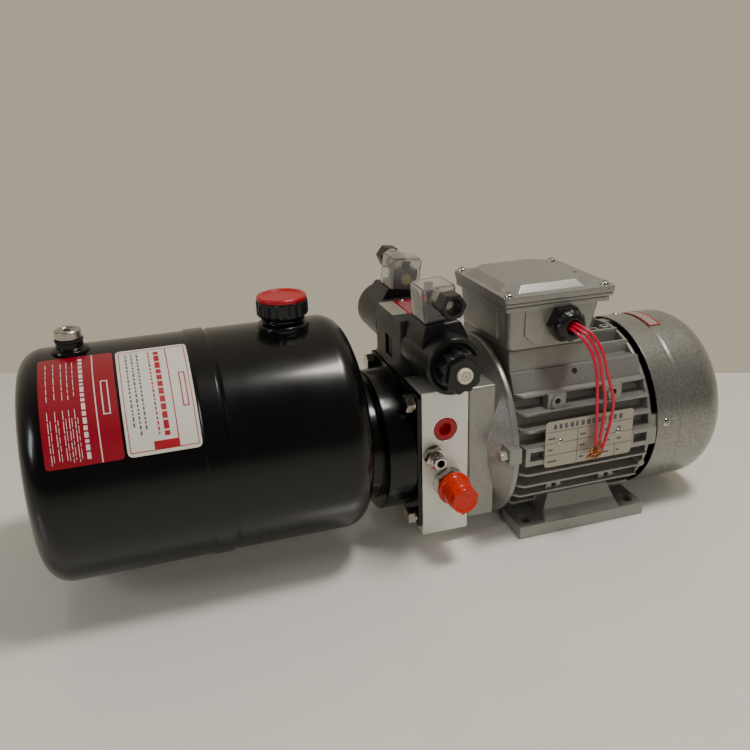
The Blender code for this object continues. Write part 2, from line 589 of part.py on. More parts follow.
# ---------------------------------------------------------------- motor
def housing_outline():
    """The finned section: level fins on both sides of a tube, each out to a common radius."""
    def reach(height, radius):
        return math.sqrt(radius ** 2 - height ** 2)

    side = []
    for number in range(FINS):
        middle = (number - (FINS - 1) / 2) * FIN_PITCH
        low, high = middle - FIN_T / 2, middle + FIN_T / 2
        tip = reach(middle, FIN_TIP_R)
        root_low = reach(low, HOUSING_R) if abs(low) < HOUSING_R else None
        root_high = reach(high, HOUSING_R) if abs(high) < HOUSING_R else None
        if root_low is None or root_high is None:
            continue
        side += [(root_low, low), (tip, low), (tip, high), (root_high, high)]
    crown = [(0.0, HOUSING_R)]
    keel = [(0.0, -HOUSING_R)]
    return keel + side + crown + [(-y, z) for y, z in reversed(side)]


def make_motor():
    half = FLANGE_SIDE / 2
    shield = box("motor_front_shield", "cast_aluminium",
                 (MOTOR_FACE, -half, SHAFT_Z - half), (MOTOR_FLANGE_END, half, SHAFT_Z + half))
    round_edges(shield, 0.0020)
    at = (0, 0, SHAFT_Z)
    join(shield, turned("shield_bell", None, [
        (0.0, SHIELD_END), (SHIELD_R, SHIELD_END), (SHIELD_R, 0.0715), (0.0770, 0.0680),
        (0.0600, 0.0555), (0.0560, 0.0450), (0.0, 0.0450)], at, steps=36))
    bearing_left = FRONT_BEARING_X - GAP
    bearing_right = FRONT_BEARING_X + BEARING_W
    cut(shield, turned("shield_inside", None, [
        (0.0, 0.0800), (0.0590, 0.0800), (0.0580, 0.0740), (0.0400, bearing_right),
        (0.0236, bearing_right), (0.0236, bearing_left), (0.0115, bearing_left),
        (0.0115, 0.0540), (COUPLING_BORE_R, 0.0540), (COUPLING_BORE_R, 0.0380), (0.0, 0.0380)],
        at, steps=24))

    length = HOUSING_END - HOUSING_START
    bore = arc((0, 0), HOUSING_BORE_R, 0, 348.75, 31)
    housing = plate("motor_housing", "cast_aluminium", [housing_outline(), bore],
                    (HOUSING_START + length / 2, 0, SHAFT_Z), length, OUTLINE_YZ)
    join(housing, box("top_pad", None, (0.0850, -0.0300, 0.1430), (0.1560, 0.0300, BOX_LOW - GAP)))
    for side in (-1, 1):
        y = sorted((side * 0.0340, side * 0.0515))
        join(housing, box(f"foot_pad_{'front' if side < 0 else 'rear'}", None,
                          (FOOT_MIDDLE - FOOT_BLOCK_X, y[0], FOOT_T + GAP),
                          (FOOT_MIDDLE + FOOT_BLOCK_X, y[1], 0.0290)))
    join(housing, box("plate_pad", None, (0.0980, -0.0825, 0.0718), (0.1750, -0.0645, 0.1076)))
    box("rating_plate", "zinc", (0.0964, -0.0836, 0.0695), (0.1764, -0.0828, 0.1095))

    turned("stator", "winding", [
        (0.0600, 0.1850), (0.0600, 0.0950), (0.0560, 0.0948), (0.0550, 0.0800), (0.0420, 0.0800),
        (0.0375, 0.0948), (0.0375, 0.1852), (0.0420, 0.1960), (0.0550, 0.1960),
        (0.0560, 0.1852)], at, closed=True, steps=24)
    turned("rotor", "steel", [
        (0.0, 0.2500), (0.0075, 0.2500), (0.0080, 0.2490), (0.0080, 0.2160), (0.0100, 0.2155),
        (0.0100, 0.2000), (0.0150, 0.1990), (0.0150, 0.1900), (0.0363, 0.1850), (0.0363, 0.0950),
        (0.0150, 0.0900), (0.0150, 0.0712), (0.0100, 0.0705), (0.0100, 0.0555), (0.0095, 0.0550),
        (0.0095, 0.0320), (0.0, 0.0320)], at, steps=20)
    for name, x in (("front_bearing", FRONT_BEARING_X), ("rear_bearing", REAR_BEARING_X)):
        ring(name, "steel", BEARING_R, 0.0103, (x, 0, SHAFT_Z), BEARING_W, "+X", 18)
    turned("motor_rear_shield", "cast_aluminium", [
        (0.0750, 0.2180), (0.0750, HOUSING_END + GAP), (0.0420, HOUSING_END + GAP),
        (0.0400, 0.2003), (0.0236, 0.2003), (0.0236, 0.2150), (0.0115, 0.2150), (0.0115, 0.2180)],
        at, closed=True, steps=28)


def make_fan():
    at = (0, 0, SHAFT_Z)
    fan = turned("cooling_fan", "black_plastic", [
        (0.0145, 0.2470), (0.0145, 0.2300), (0.0640, 0.2260), (0.0640, 0.2240), (0.0145, 0.2240),
        (0.0083, 0.2240), (0.0083, 0.2470)], at, closed=True, steps=24)
    blades = 8
    for number in range(blades):
        blade = box(f"blade_{number}", None, (-0.0125, -0.0010, 0.0135), (0.0125, 0.0010, 0.0660))
        blade.location = (0.2375, 0, SHAFT_Z)
        blade.rotation_euler = (2 * math.pi * number / blades, 0, 0)
        for vertex in blade.data.vertices:
            vertex.co.z += 0.03975
        join(fan, blade)

    shoulder, inner = 0.0240, 0.0240 - COVER_WALL
    corner = (COVER_R - shoulder, COVER_END - shoulder)
    rim = COVER_R - COVER_WALL
    profile = [(0.0, COVER_END), *arc(corner, shoulder, 90, 0, 4), (COVER_R, COVER_START),
               (rim, COVER_START), *arc(corner, inner, 0, 90, 4), (0.0, COVER_END - COVER_WALL)]
    cover = turned("fan_cover", "cast_aluminium", profile, at, steps=36)
    slots = 12
    slot = stadium(0.0026, 0.0130, (0.0, 0.0330), 3)
    outlines = [spun(slot, 2 * math.pi * (number + 0.15) / slots) for number in range(slots)]
    cut(cover, plate("air_slots", None, outlines, (COVER_END, 0, SHAFT_Z), 0.010, OUTLINE_YZ))


def make_foot(name, side):
    def y_span(a, b):
        return sorted((side * a, side * b))

    inner, outer = y_span(FOOT_INNER, FOOT_OUTER)
    foot = box(name, "cast_aluminium", (FOOT_MIDDLE - FOOT_LENGTH / 2, inner, 0.0),
               (FOOT_MIDDLE + FOOT_LENGTH / 2, outer, FOOT_T))
    round_edges(foot, 0.0012)
    step = FOOT_T - 0.001
    section = [(0.0700, step), (0.0690, 0.0190), (0.0615, FOOT_BLOCK_TOP), (0.0530, FOOT_BLOCK_TOP),
               (0.0530, step)]
    raised = plate(name + "_block", None, [[(side * y, z) for y, z in section]],
                   (FOOT_MIDDLE, 0, 0), 2 * FOOT_BLOCK_X, OUTLINE_YZ)
    for vertex in raised.data.vertices:
        rise = (vertex.co.y - step) / (FOOT_BLOCK_TOP - step)
        vertex.co.z *= 1 - FOOT_BLOCK_TAPER * rise
    join(foot, raised)
    for end in (-1, 1):
        x = FOOT_MIDDLE + end * FOOT_HOLE_X
        cut(foot, plate(f"{name}_slot_{end}", None, [stadium(0.0045, 0.0028)],
                        (x, side * FOOT_HOLE_Y, 0.005), 0.030, (0, 0, 0)))


def make_terminal_box():
    low_x, high_x = LID_MIDDLE_X - LID_X / 2, LID_MIDDLE_X + LID_X / 2
    low_y, high_y = LID_MIDDLE_Y - LID_Y / 2, LID_MIDDLE_Y + LID_Y / 2
    base = box("terminal_base", "cast_aluminium", (low_x + 0.0010, low_y + 0.0010, BOX_FLANGE_Z),
               (high_x - 0.0040, high_y - 0.0010, GASKET_Z - GAP), corner=0.0040)
    body_low, body_high = low_x + 0.0048, high_x - 0.0116
    join(base, box("terminal_body", None, (body_low, -0.0480, BOX_LOW),
                   (body_high, 0.0480, BOX_FLANGE_Z + 0.001), taper=(-1, (0.90, 0.98))))
    cut(base,
        box("terminal_hollow", None, (body_low + 0.0070, -0.0435, BOX_LOW + 0.0035),
            (body_high - 0.0070, 0.0435, 0.1990)),
        rod("gland_hole", None, 0.0103, (GLAND_X, -0.0500, GLAND_Z), 0.015, "+Y"))
    outer = [(low_x + 0.001, low_y + 0.001), (high_x - 0.001, low_y + 0.001),
             (high_x - 0.001, high_y - 0.001), (low_x + 0.001, high_y - 0.001)]
    hole = [(body_low + 0.004, -0.0445), (body_high - 0.004, -0.0445),
            (body_high - 0.004, 0.0445), (body_low + 0.004, 0.0445)]
    thick = LID_Z - GAP - GASKET_Z
    plate("lid_gasket", "black_rubber", [outer, hole], (0, 0, GASKET_Z + thick / 2), thick, (0, 0, 0))
    lid = box("terminal_lid", "cast_aluminium", (low_x, low_y, LID_Z), (high_x, high_y, LID_TOP),
              corner=0.0040)
    join(lid, box("lid_panel", None, (low_x + 0.0060, low_y + 0.0080, LID_TOP - 0.001),
                  (high_x - 0.0160, high_y - 0.0080, PANEL_TOP), taper=(1, (0.86, 0.90)),
                  corner=0.0180))

    block = box("terminal_block", "black_plastic", (0.0900, -0.0200, BOX_LOW + 0.0038),
                (0.1400, 0.0200, 0.1760))
    studs = [(0.0990 + 0.0160 * column, y, 0.1750) for column in range(3) for y in (-0.011, 0.011)]
    join(block, rods("studs", None, 0.0022, studs, 0.0100, "+Z", sides=8))

    gland = rod("cable_gland", "black_plastic", GLAND_R, (GLAND_X, -0.0520, GLAND_Z), 0.0080, "-Y",
                sides=6)
    join(gland, turned("gland_turned", None, [
        (0.0, 0.0662), (0.0085, 0.0662), (0.0125, 0.0640), (0.0135, 0.0570), (0.0100, 0.0570),
        (0.0100, 0.0445), (0.0, 0.0445)], (GLAND_X, 0, GLAND_Z), "-Y", steps=20))
    cut(gland, rod("gland_bore", None, 0.0060, (GLAND_X, -0.0430, GLAND_Z), 0.030, "-Y"))


# ---------------------------------------------------------------- leads
def smooth_route(points, spacing):
    """A Catmull-Rom curve through the points, read at even spacing."""
    ends = [points[0], *points, points[-1]]
    fine = []
    for i in range(len(points) - 1):
        a, b, c, d = ends[i:i + 4]
        for step in range(20):
            t = step / 20
            fine.append([0.5 * (2 * b[k] + (c[k] - a[k]) * t
                                + (2 * a[k] - 5 * b[k] + 4 * c[k] - d[k]) * t ** 2
                                + (3 * b[k] - a[k] - 3 * c[k] + d[k]) * t ** 3)
                         for k in range(3)])
    fine.append(list(points[-1]))
    along = [0.0]
    for p, q in zip(fine, fine[1:]):
        along.append(along[-1] + math.dist(p, q))
    count = max(2, round(along[-1] / spacing))
    route, place_now = [], 0
    for number in range(count + 1):
        target = along[-1] * number / count
        while place_now < len(fine) - 2 and along[place_now + 1] < target:
            place_now += 1
        span = along[place_now + 1] - along[place_now]
        share = (target - along[place_now]) / span
        route.append([p + (q - p) * share
                      for p, q in zip(fine[place_now], fine[place_now + 1])])
    return route


def make_leads():
    for number, points in enumerate(LEAD_ROUTES, 1):
        curve = bpy.data.curves.new(f"lead_{number}", "CURVE")
        curve.dimensions = "3D"
        curve.bevel_depth = LEAD_R
        curve.bevel_resolution = 2
        curve.use_fill_caps = True
        route = smooth_route(points, 6 * LEAD_R)
        spline = curve.splines.new("POLY")
        spline.points.add(len(route) - 1)
        for point, spot in zip(spline.points, route):
            point.co = (*spot, 1.0)
        place(f"lead_{number}", curve, "lead_red", (0, 0, 0), (0, 0, 0))


# ---------------------------------------------------------------- the unit
clear_scene()
parts = bpy.data.collections.new("hydraulic_power_unit")
cutters = bpy.data.collections.new("cutters")
for collection in (parts, cutters):
    bpy.context.scene.collection.children.link(collection)

# The datum stands so that the unit's box is centred on the world's Z axis.
datum = bpy.data.objects.new("datum", None)
parts.objects.link(datum)
datum.location = (-(TANK_LEFT + COVER_END) / 2, -VALVE_Y, 0.0)

tank_neck = make_tank()
manifold = make_block()
make_flange_bolts(tank_neck, manifold)
make_filler()
make_ports()
make_valve()
make_pump()
make_motor()
make_fan()
make_foot("foot_front", -1)
make_foot("foot_rear", 1)
make_terminal_box()
make_leads()
bpy.context.view_layer.update()
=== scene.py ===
"""The looks of a hydraulic power unit: an oil tank, a manifold block with its solenoid valve, and
the foot-mounted motor, built around the unit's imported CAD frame.

Shapes are in millimetres from a datum on the shaft's axis, as in the CAD: X = 0 is the manifold
block's face on the tank side, Y = 0 is the shaft, Z = 0 is under the feet. solid() turns them into
the frame's metres. The tank is at -X, the motor at +X, and -Y is the front.
"""
import math
import random

import bmesh
import bpy
from mathutils import Matrix, Vector

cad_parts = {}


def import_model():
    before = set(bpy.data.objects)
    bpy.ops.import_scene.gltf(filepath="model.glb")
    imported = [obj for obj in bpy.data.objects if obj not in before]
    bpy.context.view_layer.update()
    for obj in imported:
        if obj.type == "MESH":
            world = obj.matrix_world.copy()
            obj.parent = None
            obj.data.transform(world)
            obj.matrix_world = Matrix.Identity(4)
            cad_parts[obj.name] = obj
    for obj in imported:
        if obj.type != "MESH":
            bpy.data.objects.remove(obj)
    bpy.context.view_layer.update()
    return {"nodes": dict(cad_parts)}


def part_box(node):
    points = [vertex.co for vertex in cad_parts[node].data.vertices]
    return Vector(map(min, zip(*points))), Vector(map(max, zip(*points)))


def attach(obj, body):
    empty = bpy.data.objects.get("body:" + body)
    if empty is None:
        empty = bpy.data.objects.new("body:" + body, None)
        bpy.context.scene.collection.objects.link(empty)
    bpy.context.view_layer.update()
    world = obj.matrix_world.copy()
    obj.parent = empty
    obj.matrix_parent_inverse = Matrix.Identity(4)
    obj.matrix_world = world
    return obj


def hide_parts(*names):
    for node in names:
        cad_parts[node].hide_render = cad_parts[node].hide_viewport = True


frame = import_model()

MM = 0.001
block_low, block_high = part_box("manifold_block")
DATUM = Vector((block_low.x, (block_low.y + block_high.y) / 2, 0.0))
SHAFT_Z = 80.0
ORIGIN, SHAFT = (0, 0, 0), (0, 0, SHAFT_Z)

QUARTER = math.pi / 2
TURNS = {"+X": (0, QUARTER, 0), "-X": (0, -QUARTER, 0), "+Y": (-QUARTER, 0, 0),
         "-Y": (QUARTER, 0, 0), "+Z": (0, 0, 0), "-Z": (math.pi, 0, 0)}
ACROSS = {-1: "-Y", 1: "+Y"}      # the way out from the shaft, on the front and the rear side
SIDES = {-1: "front", 1: "rear"}
QUADRANTS = [(side, level) for level in (-1, 1) for side in (-1, 1)]


def world(x, y, z):
    """A point in millimetres from the datum, in the frame's metres."""
    return DATUM + Vector((x, y, z)) * MM


# ---------------------------------------------------------------- camera
CAMERA_AT = (-0.197212, -0.605494, 0.383866)
YAW, PITCH, ROLL = (math.radians(a) for a in (17.149, 21.551, 1.896))
LENS, SENSOR = 38.558, 36.0


def make_camera():
    forward = Vector((math.sin(YAW) * math.cos(PITCH), math.cos(YAW) * math.cos(PITCH),
                      -math.sin(PITCH)))
    level = Vector((math.cos(YAW), -math.sin(YAW), 0.0))
    down = forward.cross(level)
    right = math.cos(ROLL) * level + math.sin(ROLL) * down
    low = math.cos(ROLL) * down - math.sin(ROLL) * level
    data = bpy.data.cameras.new("camera")
    data.lens, data.sensor_width = LENS, SENSOR
    camera = bpy.data.objects.new("camera", data)
    bpy.context.scene.collection.objects.link(camera)
    turn = Matrix((right, -low, -forward)).transposed().to_4x4()
    camera.matrix_world = Matrix.Translation(CAMERA_AT) @ turn
    bpy.context.scene.camera = camera


# ---------------------------------------------------------------- materials
FLAKE_SCALE = 1000.0              # metallic flakes per metre
WEAR_R, BUMP_DEPTH = 0.0007, 0.0002


def varied(name, colour, roughness, metallic=0.0, tone=0.10, patch=200.0, spread=0.06,
           grain=1500.0, relief=0.05, stretch=(1, 1, 1), flakes=0.0, worn=None, **sockets):
    """A Principled material whose colour, gloss and surface all vary over the object.
    patch and grain are noise scales per metre, flakes is the spread of metallic flakes' tone,
    and worn is the colour that shows along edges. Numbered sockets are those of a Mix node
    (0 share, 6 and 7 the colours) and of a Map Range node (1 and 2 from, 3 and 4 to)."""
    made = bpy.data.materials.new(name)
    made.use_nodes = True
    tree = made.node_tree
    shader = tree.nodes["Principled BSDF"]

    def node(kind, inputs=(), **settings):
        new = tree.nodes.new("ShaderNode" + kind)
        for key, value in settings.items():
            setattr(new, key, value)
        for socket, value in dict(inputs).items():
            if isinstance(value, bpy.types.NodeSocket):
                tree.links.new(value, new.inputs[socket])
            else:
                new.inputs[socket].default_value = value
        return new

    def mix(share, a, b, **settings):
        return node("Mix", {0: share, 6: a, 7: b}, data_type="RGBA", **settings).outputs[2]

    place = node("TexCoord").outputs["Object"]
    drawn = node("Mapping", {"Vector": place, "Scale": stretch}).outputs[0]
    broad = node("TexNoise", {"Vector": place, "Scale": patch, "Detail": 5.0,
                              "Roughness": 0.6}).outputs["Fac"]
    fine = node("TexNoise", {"Vector": drawn, "Scale": grain, "Detail": 3.0,
                             "Roughness": 0.55}).outputs["Fac"]
    dark = (*(c * (1 - tone) for c in colour), 1.0)
    light = (*(min(1.0, c * (1 + tone)) for c in colour), 1.0)
    shade = mix(broad, dark, light)
    if flakes:
        cells = node("TexVoronoi", {"Vector": place, "Scale": FLAKE_SCALE})
        grey = node("RGBToBW", {0: cells.outputs["Color"]}).outputs[0]
        gain = node("MapRange", {0: grey, 3: 1 - flakes, 4: 1 + flakes}).outputs[0]
        shade = mix(1.0, shade, gain, blend_type="MULTIPLY")
    if worn:
        bent = node("Bevel", {"Radius": WEAR_R}, samples=4).outputs[0]
        flat = node("NewGeometry").outputs["Normal"]
        match = node("VectorMath", {0: bent, 1: flat}, operation="DOT_PRODUCT").outputs["Value"]
        edge = node("MapRange", {0: match, 1: 0.97, 2: 0.80, 3: 0.0, 4: 1.0}).outputs[0]
        chance = node("MapRange", {0: broad, 1: 0.35, 2: 0.60}).outputs[0]
        share = node("Math", {0: edge, 1: chance}, operation="MULTIPLY").outputs[0]
        shade = mix(share, shade, (*worn, 1.0))
    tree.links.new(shade, shader.inputs["Base Color"])
    gloss = node("MapRange", {0: broad, 1: 0.25, 2: 0.75, 3: max(0.02, roughness - spread),
                              4: roughness + spread}).outputs[0]
    tree.links.new(gloss, shader.inputs["Roughness"])
    bump = node("Bump", {"Height": fine, "Strength": relief, "Distance": BUMP_DEPTH}).outputs[0]
    tree.links.new(bump, shader.inputs["Normal"])
    shader.inputs["Metallic"].default_value = metallic
    for socket, value in sockets.items():
        shader.inputs[socket.replace("_", " ")].default_value = value
    made.diffuse_color = (*colour, 1.0)
    return made


# look: (the record's material slot, the material)
LOOKS = {
    "enamel": ("black_enamel", varied(
        "gloss_black_enamel", (0.0030, 0.0030, 0.0032), 0.24, tone=0.30, patch=14, grain=140,
        Specular_IOR_Level=0.30, Coat_Weight=0.22, Coat_Roughness=0.10)),
    "zinc": ("zinc", varied(
        "zinc_plate", (0.50, 0.48, 0.43), 0.28, 1.0, tone=0.16, patch=160, spread=0.10,
        grain=2400, relief=0.10)),
    "bright": ("zinc", varied(
        "bright_nickel", (0.62, 0.61, 0.57), 0.20, 1.0, tone=0.12, grain=2600, relief=0.06)),
    "plug_red": ("red_plastic", varied(
        "crimson_plastic", (0.42, 0.002, 0.012), 0.34, tone=0.12, patch=80, grain=1800,
        relief=0.06, Subsurface_Weight=0.08, Subsurface_Scale=0.002)),
    "cap_orange": ("orange_plastic", varied(
        "orange_red_plastic", (0.60, 0.018, 0.0), 0.24, patch=90, Subsurface_Weight=0.05,
        Subsurface_Scale=0.002)),
    "moulded": ("black_plastic", varied(
        "moulded_black", (0.008, 0.008, 0.009), 0.34, tone=0.25, patch=60, spread=0.09,
        grain=1900, relief=0.14)),
    "rubber": ("black_rubber", varied(
        "black_rubber", (0.018, 0.018, 0.018), 0.62, tone=0.25, patch=80, grain=1600,
        relief=0.20)),
    "machined": ("machined_aluminium", varied(
        "machined_aluminium", (0.78, 0.77, 0.71), 0.36, 0.45, tone=0.05, patch=22, spread=0.07,
        grain=520, stretch=(1, 1, 9), worn=(0.90, 0.89, 0.86))),
    "cast": ("cast_aluminium", varied(
        "silver_painted_casting", (0.325, 0.318, 0.292), 0.38, 0.60, tone=0.14, patch=18,
        spread=0.08, grain=700, relief=0.18, flakes=0.14, worn=(0.52, 0.51, 0.48))),
    "hammered": ("cast_aluminium", varied(
        "silver_flake_paint", (0.28, 0.275, 0.25), 0.31, 0.70, tone=0.08, patch=16, grain=520,
        relief=0.20, flakes=0.32, Coat_Weight=0.35, Coat_Roughness=0.18)),
    "phosphate": ("dark_steel", varied(
        "phosphated_steel", (0.050, 0.050, 0.048), 0.44, 0.55, tone=0.22, patch=45, spread=0.10,
        grain=1400, relief=0.12, worn=(0.16, 0.16, 0.155))),
    "steel": ("steel", varied(
        "ground_steel", (0.50, 0.49, 0.47), 0.30, 1.0, tone=0.14, patch=90, relief=0.08,
        stretch=(1, 1, 6))),
    "clear": ("clear_plastic", varied(
        "clear_polycarbonate", (0.93, 0.93, 0.92), 0.06, tone=0.03, patch=60, spread=0.03,
        grain=300, relief=0.06, Transmission_Weight=0.96, IOR=1.45)),
    "winding": ("winding", varied(
        "lacquered_winding", (0.40, 0.16, 0.07), 0.42, 0.6, tone=0.25, grain=2500, relief=0.5,
        stretch=(8, 1, 1))),
    "insulation": ("lead_red", varied(
        "crimson_insulation", (0.60, 0.004, 0.040), 0.30, patch=120, Coat_Weight=0.2)),
    "copper": ("winding", varied(
        "copper_strand", (0.55, 0.20, 0.085), 0.34, 1.0, tone=0.25, patch=600, grain=3000,
        relief=0.10)),
    "label_red": ("red_plastic", varied(
        "red_label_film", (0.26, 0.002, 0.014), 0.30, tone=0.07, patch=30, grain=900,
        relief=0.03, Coat_Weight=0.5, Coat_Roughness=0.12)),
    "label_white": ("clear_plastic", varied(
        "white_label_film", (0.66, 0.64, 0.57), 0.34, tone=0.04, patch=30, grain=900,
        relief=0.03, Coat_Weight=0.4, Coat_Roughness=0.15)),
    "ink_pale": ("clear_plastic", varied("pale_ink", (0.70, 0.56, 0.55), 0.45, patch=300)),
    "ink_grey": ("dark_steel", varied("grey_ink", (0.09, 0.09, 0.10), 0.50, tone=0.20, patch=300)),
    "ink_red": ("red_plastic", varied("red_ink", (0.38, 0.010, 0.020), 0.45, tone=0.12)),
    "foil": ("zinc", varied(
        "silver_foil_plate", (0.40, 0.375, 0.31), 0.36, 0.45, tone=0.06, patch=40, grain=1600,
        relief=0.06, stretch=(7, 1, 1))),
    "cream": ("steel", varied(
        "cream_button", (0.62, 0.58, 0.46), 0.34, tone=0.08, relief=0.08)),
    "lens_yellow": ("clear_plastic", varied(
        "yellow_green_seal", (0.28, 0.27, 0.015), 0.35, tone=0.15, grain=1200, relief=0.08)),
    "lamp_red": ("red_plastic", varied(
        "red_lamp", (0.75, 0.02, 0.02), 0.15, patch=300, relief=0.04, Coat_Weight=0.6)),
    # painted shade: a near-black look that stands in for the shade down holes and in the gap behind
    # the fan cover
    "shaded_hollow": ("dark_steel", varied(
        "painted_shade_black", (0.010, 0.010, 0.010), 0.70, tone=0.30, patch=90, grain=900, relief=0.2)),
}


# ---------------------------------------------------------------- mesh tools
FLAT_BEND = math.radians(14)      # an outline's bend below this stays as it is
BEVEL_FROM = 0.40                 # radians: a sharper edge than this gets a bevel
SHARP_FROM = math.radians(32)     # and one sharper than this is shaded as an edge


def solid(name, bm, at=ORIGIN, turn="+Z"):
    """An object from a mesh drawn in millimetres, at a point from the datum."""
    bmesh.ops.recalc_face_normals(bm, faces=bm.faces)
    mesh = bpy.data.meshes.new(name)
    bm.to_mesh(mesh)
    bm.free()
    mesh.transform(Matrix.Scale(MM, 4))
    obj = bpy.data.objects.new(name, mesh)
    bpy.context.scene.collection.objects.link(obj)
    obj.location = world(*at)
    obj.rotation_euler = TURNS[turn]
    return obj


def softened(profile, size, closed):
    """The outline with each sharp corner made round."""
    if not size:
        return [Vector(corner) for corner in profile]
    count = len(profile)
    points = []
    for i, corner in enumerate(profile):
        here = Vector(corner)
        end = not closed and i in (0, count - 1)
        before = Vector(profile[i - 1]) - here
        after = Vector(profile[(i + 1) % count]) - here
        if end or before.angle(-after) < FLAT_BEND:
            points.append(here)
            continue
        reach = min(size, 0.4 * before.length, 0.4 * after.length)
        a, b = here + before.normalized() * reach, here + after.normalized() * reach
        points += [(1 - t) ** 2 * a + 2 * t * (1 - t) * here + t * t * b
                   for t in (0.0, 0.33, 0.67, 1.0)]
    return points


def lathe(name, profile, at=ORIGIN, along="+Z", steps=72, soft=0.5, closed=False,
          wave=(0, 0, 1, 0, 0)):
    """A profile of (radius, height) turned about an axis. wave = (count, depth, low, high, inner)
    pulls the surface in between its ribs, where it is between two heights and outside a radius."""
    count, depth, wave_low, wave_high, inner = wave
    bm = bmesh.new()
    rings = []
    for radius, height in softened(profile, soft, closed):
        if radius < 1e-3:
            rings.append([bm.verts.new((0, 0, height))])
            continue
        waved = wave_low <= height <= wave_high and radius > inner
        ring = []
        for k in range(steps):
            angle = 2 * math.pi * k / steps
            r = radius - (depth * (0.5 - 0.5 * math.cos(count * angle)) if waved else 0)
            ring.append(bm.verts.new((r * math.cos(angle), r * math.sin(angle), height)))
        rings.append(ring)
    for low, high in zip(rings, rings[1:] + (rings[:1] if closed else [])):
        for k in range(steps):
            corners = [low[k % len(low)], low[(k + 1) % len(low)], high[(k + 1) % len(high)],
                       high[k % len(high)]]
            corners = list(dict.fromkeys(corners))
            if len(corners) > 2:
                bm.faces.new(corners)
    return solid(name, bm, at, along)


def tube(name, outer, inner, low, high, at=ORIGIN, along="+Z", **how):
    return lathe(name, [(outer, low), (outer, high), (inner, high), (inner, low)], at, along,
                 closed=True, **how)


def drum(name, radius, low, high, at=ORIGIN, along="+Z", **how):
    return lathe(name, [(0, low), (radius, low), (radius, high), (0, high)], at, along, **how)


def loft(name, sections, edge=0.6, segments=2, at=ORIGIN, turn="+Z"):
    """A skin over outlines of equal length, with its sharp edges bevelled."""
    bm = bmesh.new()
    rings = [[bm.verts.new(p) for p in section] for section in sections]
    for low, high in zip(rings, rings[1:]):
        for k in range(len(low)):
            bm.faces.new((low[k], low[k - 1], high[k - 1], high[k]))
    bm.faces.new(rings[0])
    bm.faces.new(rings[-1])
    if edge:
        bmesh.ops.recalc_face_normals(bm, faces=bm.faces)
        sharp = [e for e in bm.edges if e.calc_face_angle(0.0) > BEVEL_FROM]
        bmesh.ops.bevel(bm, geom=sharp, offset=edge, segments=segments, profile=0.5,
                        affect="EDGES", clamp_overlap=True)
    return solid(name, bm, at, turn)


def prism(name, outline, low, high, axis="Z", edge=0.6, segments=2, at=ORIGIN, turn="+Z"):
    """A flat outline pushed along an axis. Its two numbers are the other axes, in order."""
    order = {"X": lambda u, v, w: (w, u, v), "Y": lambda u, v, w: (u, w, v),
             "Z": lambda u, v, w: (u, v, w)}[axis]
    sections = [[order(u, v, w) for u, v in outline] for w in (low, high)]
    return loft(name, sections, edge, segments, at, turn)


def box(name, low, high, edge=0.6):
    outline = rectangle(low[0], low[1], high[0], high[1])
    return prism(name, outline, low[2], high[2], edge=edge)


def span(side, near, far, middle=0.0):
    """Two distances from the middle, out to one side, as places along Y with the lower first."""
    return sorted((middle + side * near, middle + side * far))


def side_box(name, side, x, reach, z, edge=0.6, middle=0.0):
    """A box on one side, between two places along X, two distances out, and two heights."""
    near, far = span(side, *reach, middle)
    return box(name, (x[0], near, z[0]), (x[1], far, z[1]), edge)


def rectangle(u0, v0, u1, v1, corner=0.0, steps=5):
    """A rectangle's outline, with corners of a radius, or cut off where steps is 1."""
    if not corner:
        return [(u0, v0), (u1, v0), (u1, v1), (u0, v1)]
    middles = [(u1 - corner, v1 - corner), (u0 + corner, v1 - corner),
               (u0 + corner, v0 + corner), (u1 - corner, v0 + corner)]
    return [(u + corner * math.cos(QUARTER * (number + k / steps)),
             v + corner * math.sin(QUARTER * (number + k / steps)))
            for number, (u, v) in enumerate(middles) for k in range(steps + 1)]


def level(outline, z):
    return [(u, v, z) for u, v in outline]


def hexagon(radius, turn=0.0):
    return [(radius * math.cos(math.radians(60 * k + turn)),
             radius * math.sin(math.radians(60 * k + turn))) for k in range(6)]


def arc(centre, radius, start, end, steps):
    turns = [math.radians(start + (end - start) * i / steps) for i in range(steps + 1)]
    return [(centre[0] + radius * math.cos(a), centre[1] + radius * math.sin(a)) for a in turns]


def carve(obj, *tools, operation="DIFFERENCE"):
    """Cuts the tools out of an object, or adds them to it, and uses them up."""
    for tool in tools:
        modifier = obj.modifiers.new("carve", "BOOLEAN")
        modifier.operation = operation
        modifier.object = tool
        modifier.solver = "EXACT"
    bpy.context.view_layer.update()
    graph = bpy.context.evaluated_depsgraph_get()
    mesh = bpy.data.meshes.new_from_object(obj.evaluated_get(graph))
    obj.modifiers.clear()
    obj.data = mesh
    for tool in tools:
        bpy.data.objects.remove(tool, do_unlink=True)
    return obj


def weld(obj, *others):
    """Joins objects into one mesh."""
    bpy.context.view_layer.update()
    with bpy.context.temp_override(active_object=obj, object=obj,
                                   selected_objects=[obj, *others],
                                   selected_editable_objects=[obj, *others]):
        bpy.ops.object.join()
    return obj


def settle(obj, look, body="root", replaces=None):
    """Gives a finished shape its material, and puts it on its body."""
    slot, material = LOOKS[look]
    obj.data.materials.clear()
    obj.data.materials.append(material)
    if obj.type == "MESH":
        obj.data.shade_smooth()
        obj.data.set_sharp_from_angle(angle=SHARP_FROM)
        flat = obj.modifiers.new("flat_faces", "WEIGHTED_NORMAL")
        flat.keep_sharp = True
    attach(obj, body)
    if replaces:
        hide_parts(replaces)
    return obj


def lean(objects, middle, degrees):
    """Turns objects about a line along Y."""
    pivot = Matrix.Translation(world(*middle))
    turn = pivot @ Matrix.Rotation(math.radians(degrees), 4, "Y") @ pivot.inverted()
    bpy.context.view_layer.update()
    for obj in objects:
        obj.matrix_world = turn @ obj.matrix_world


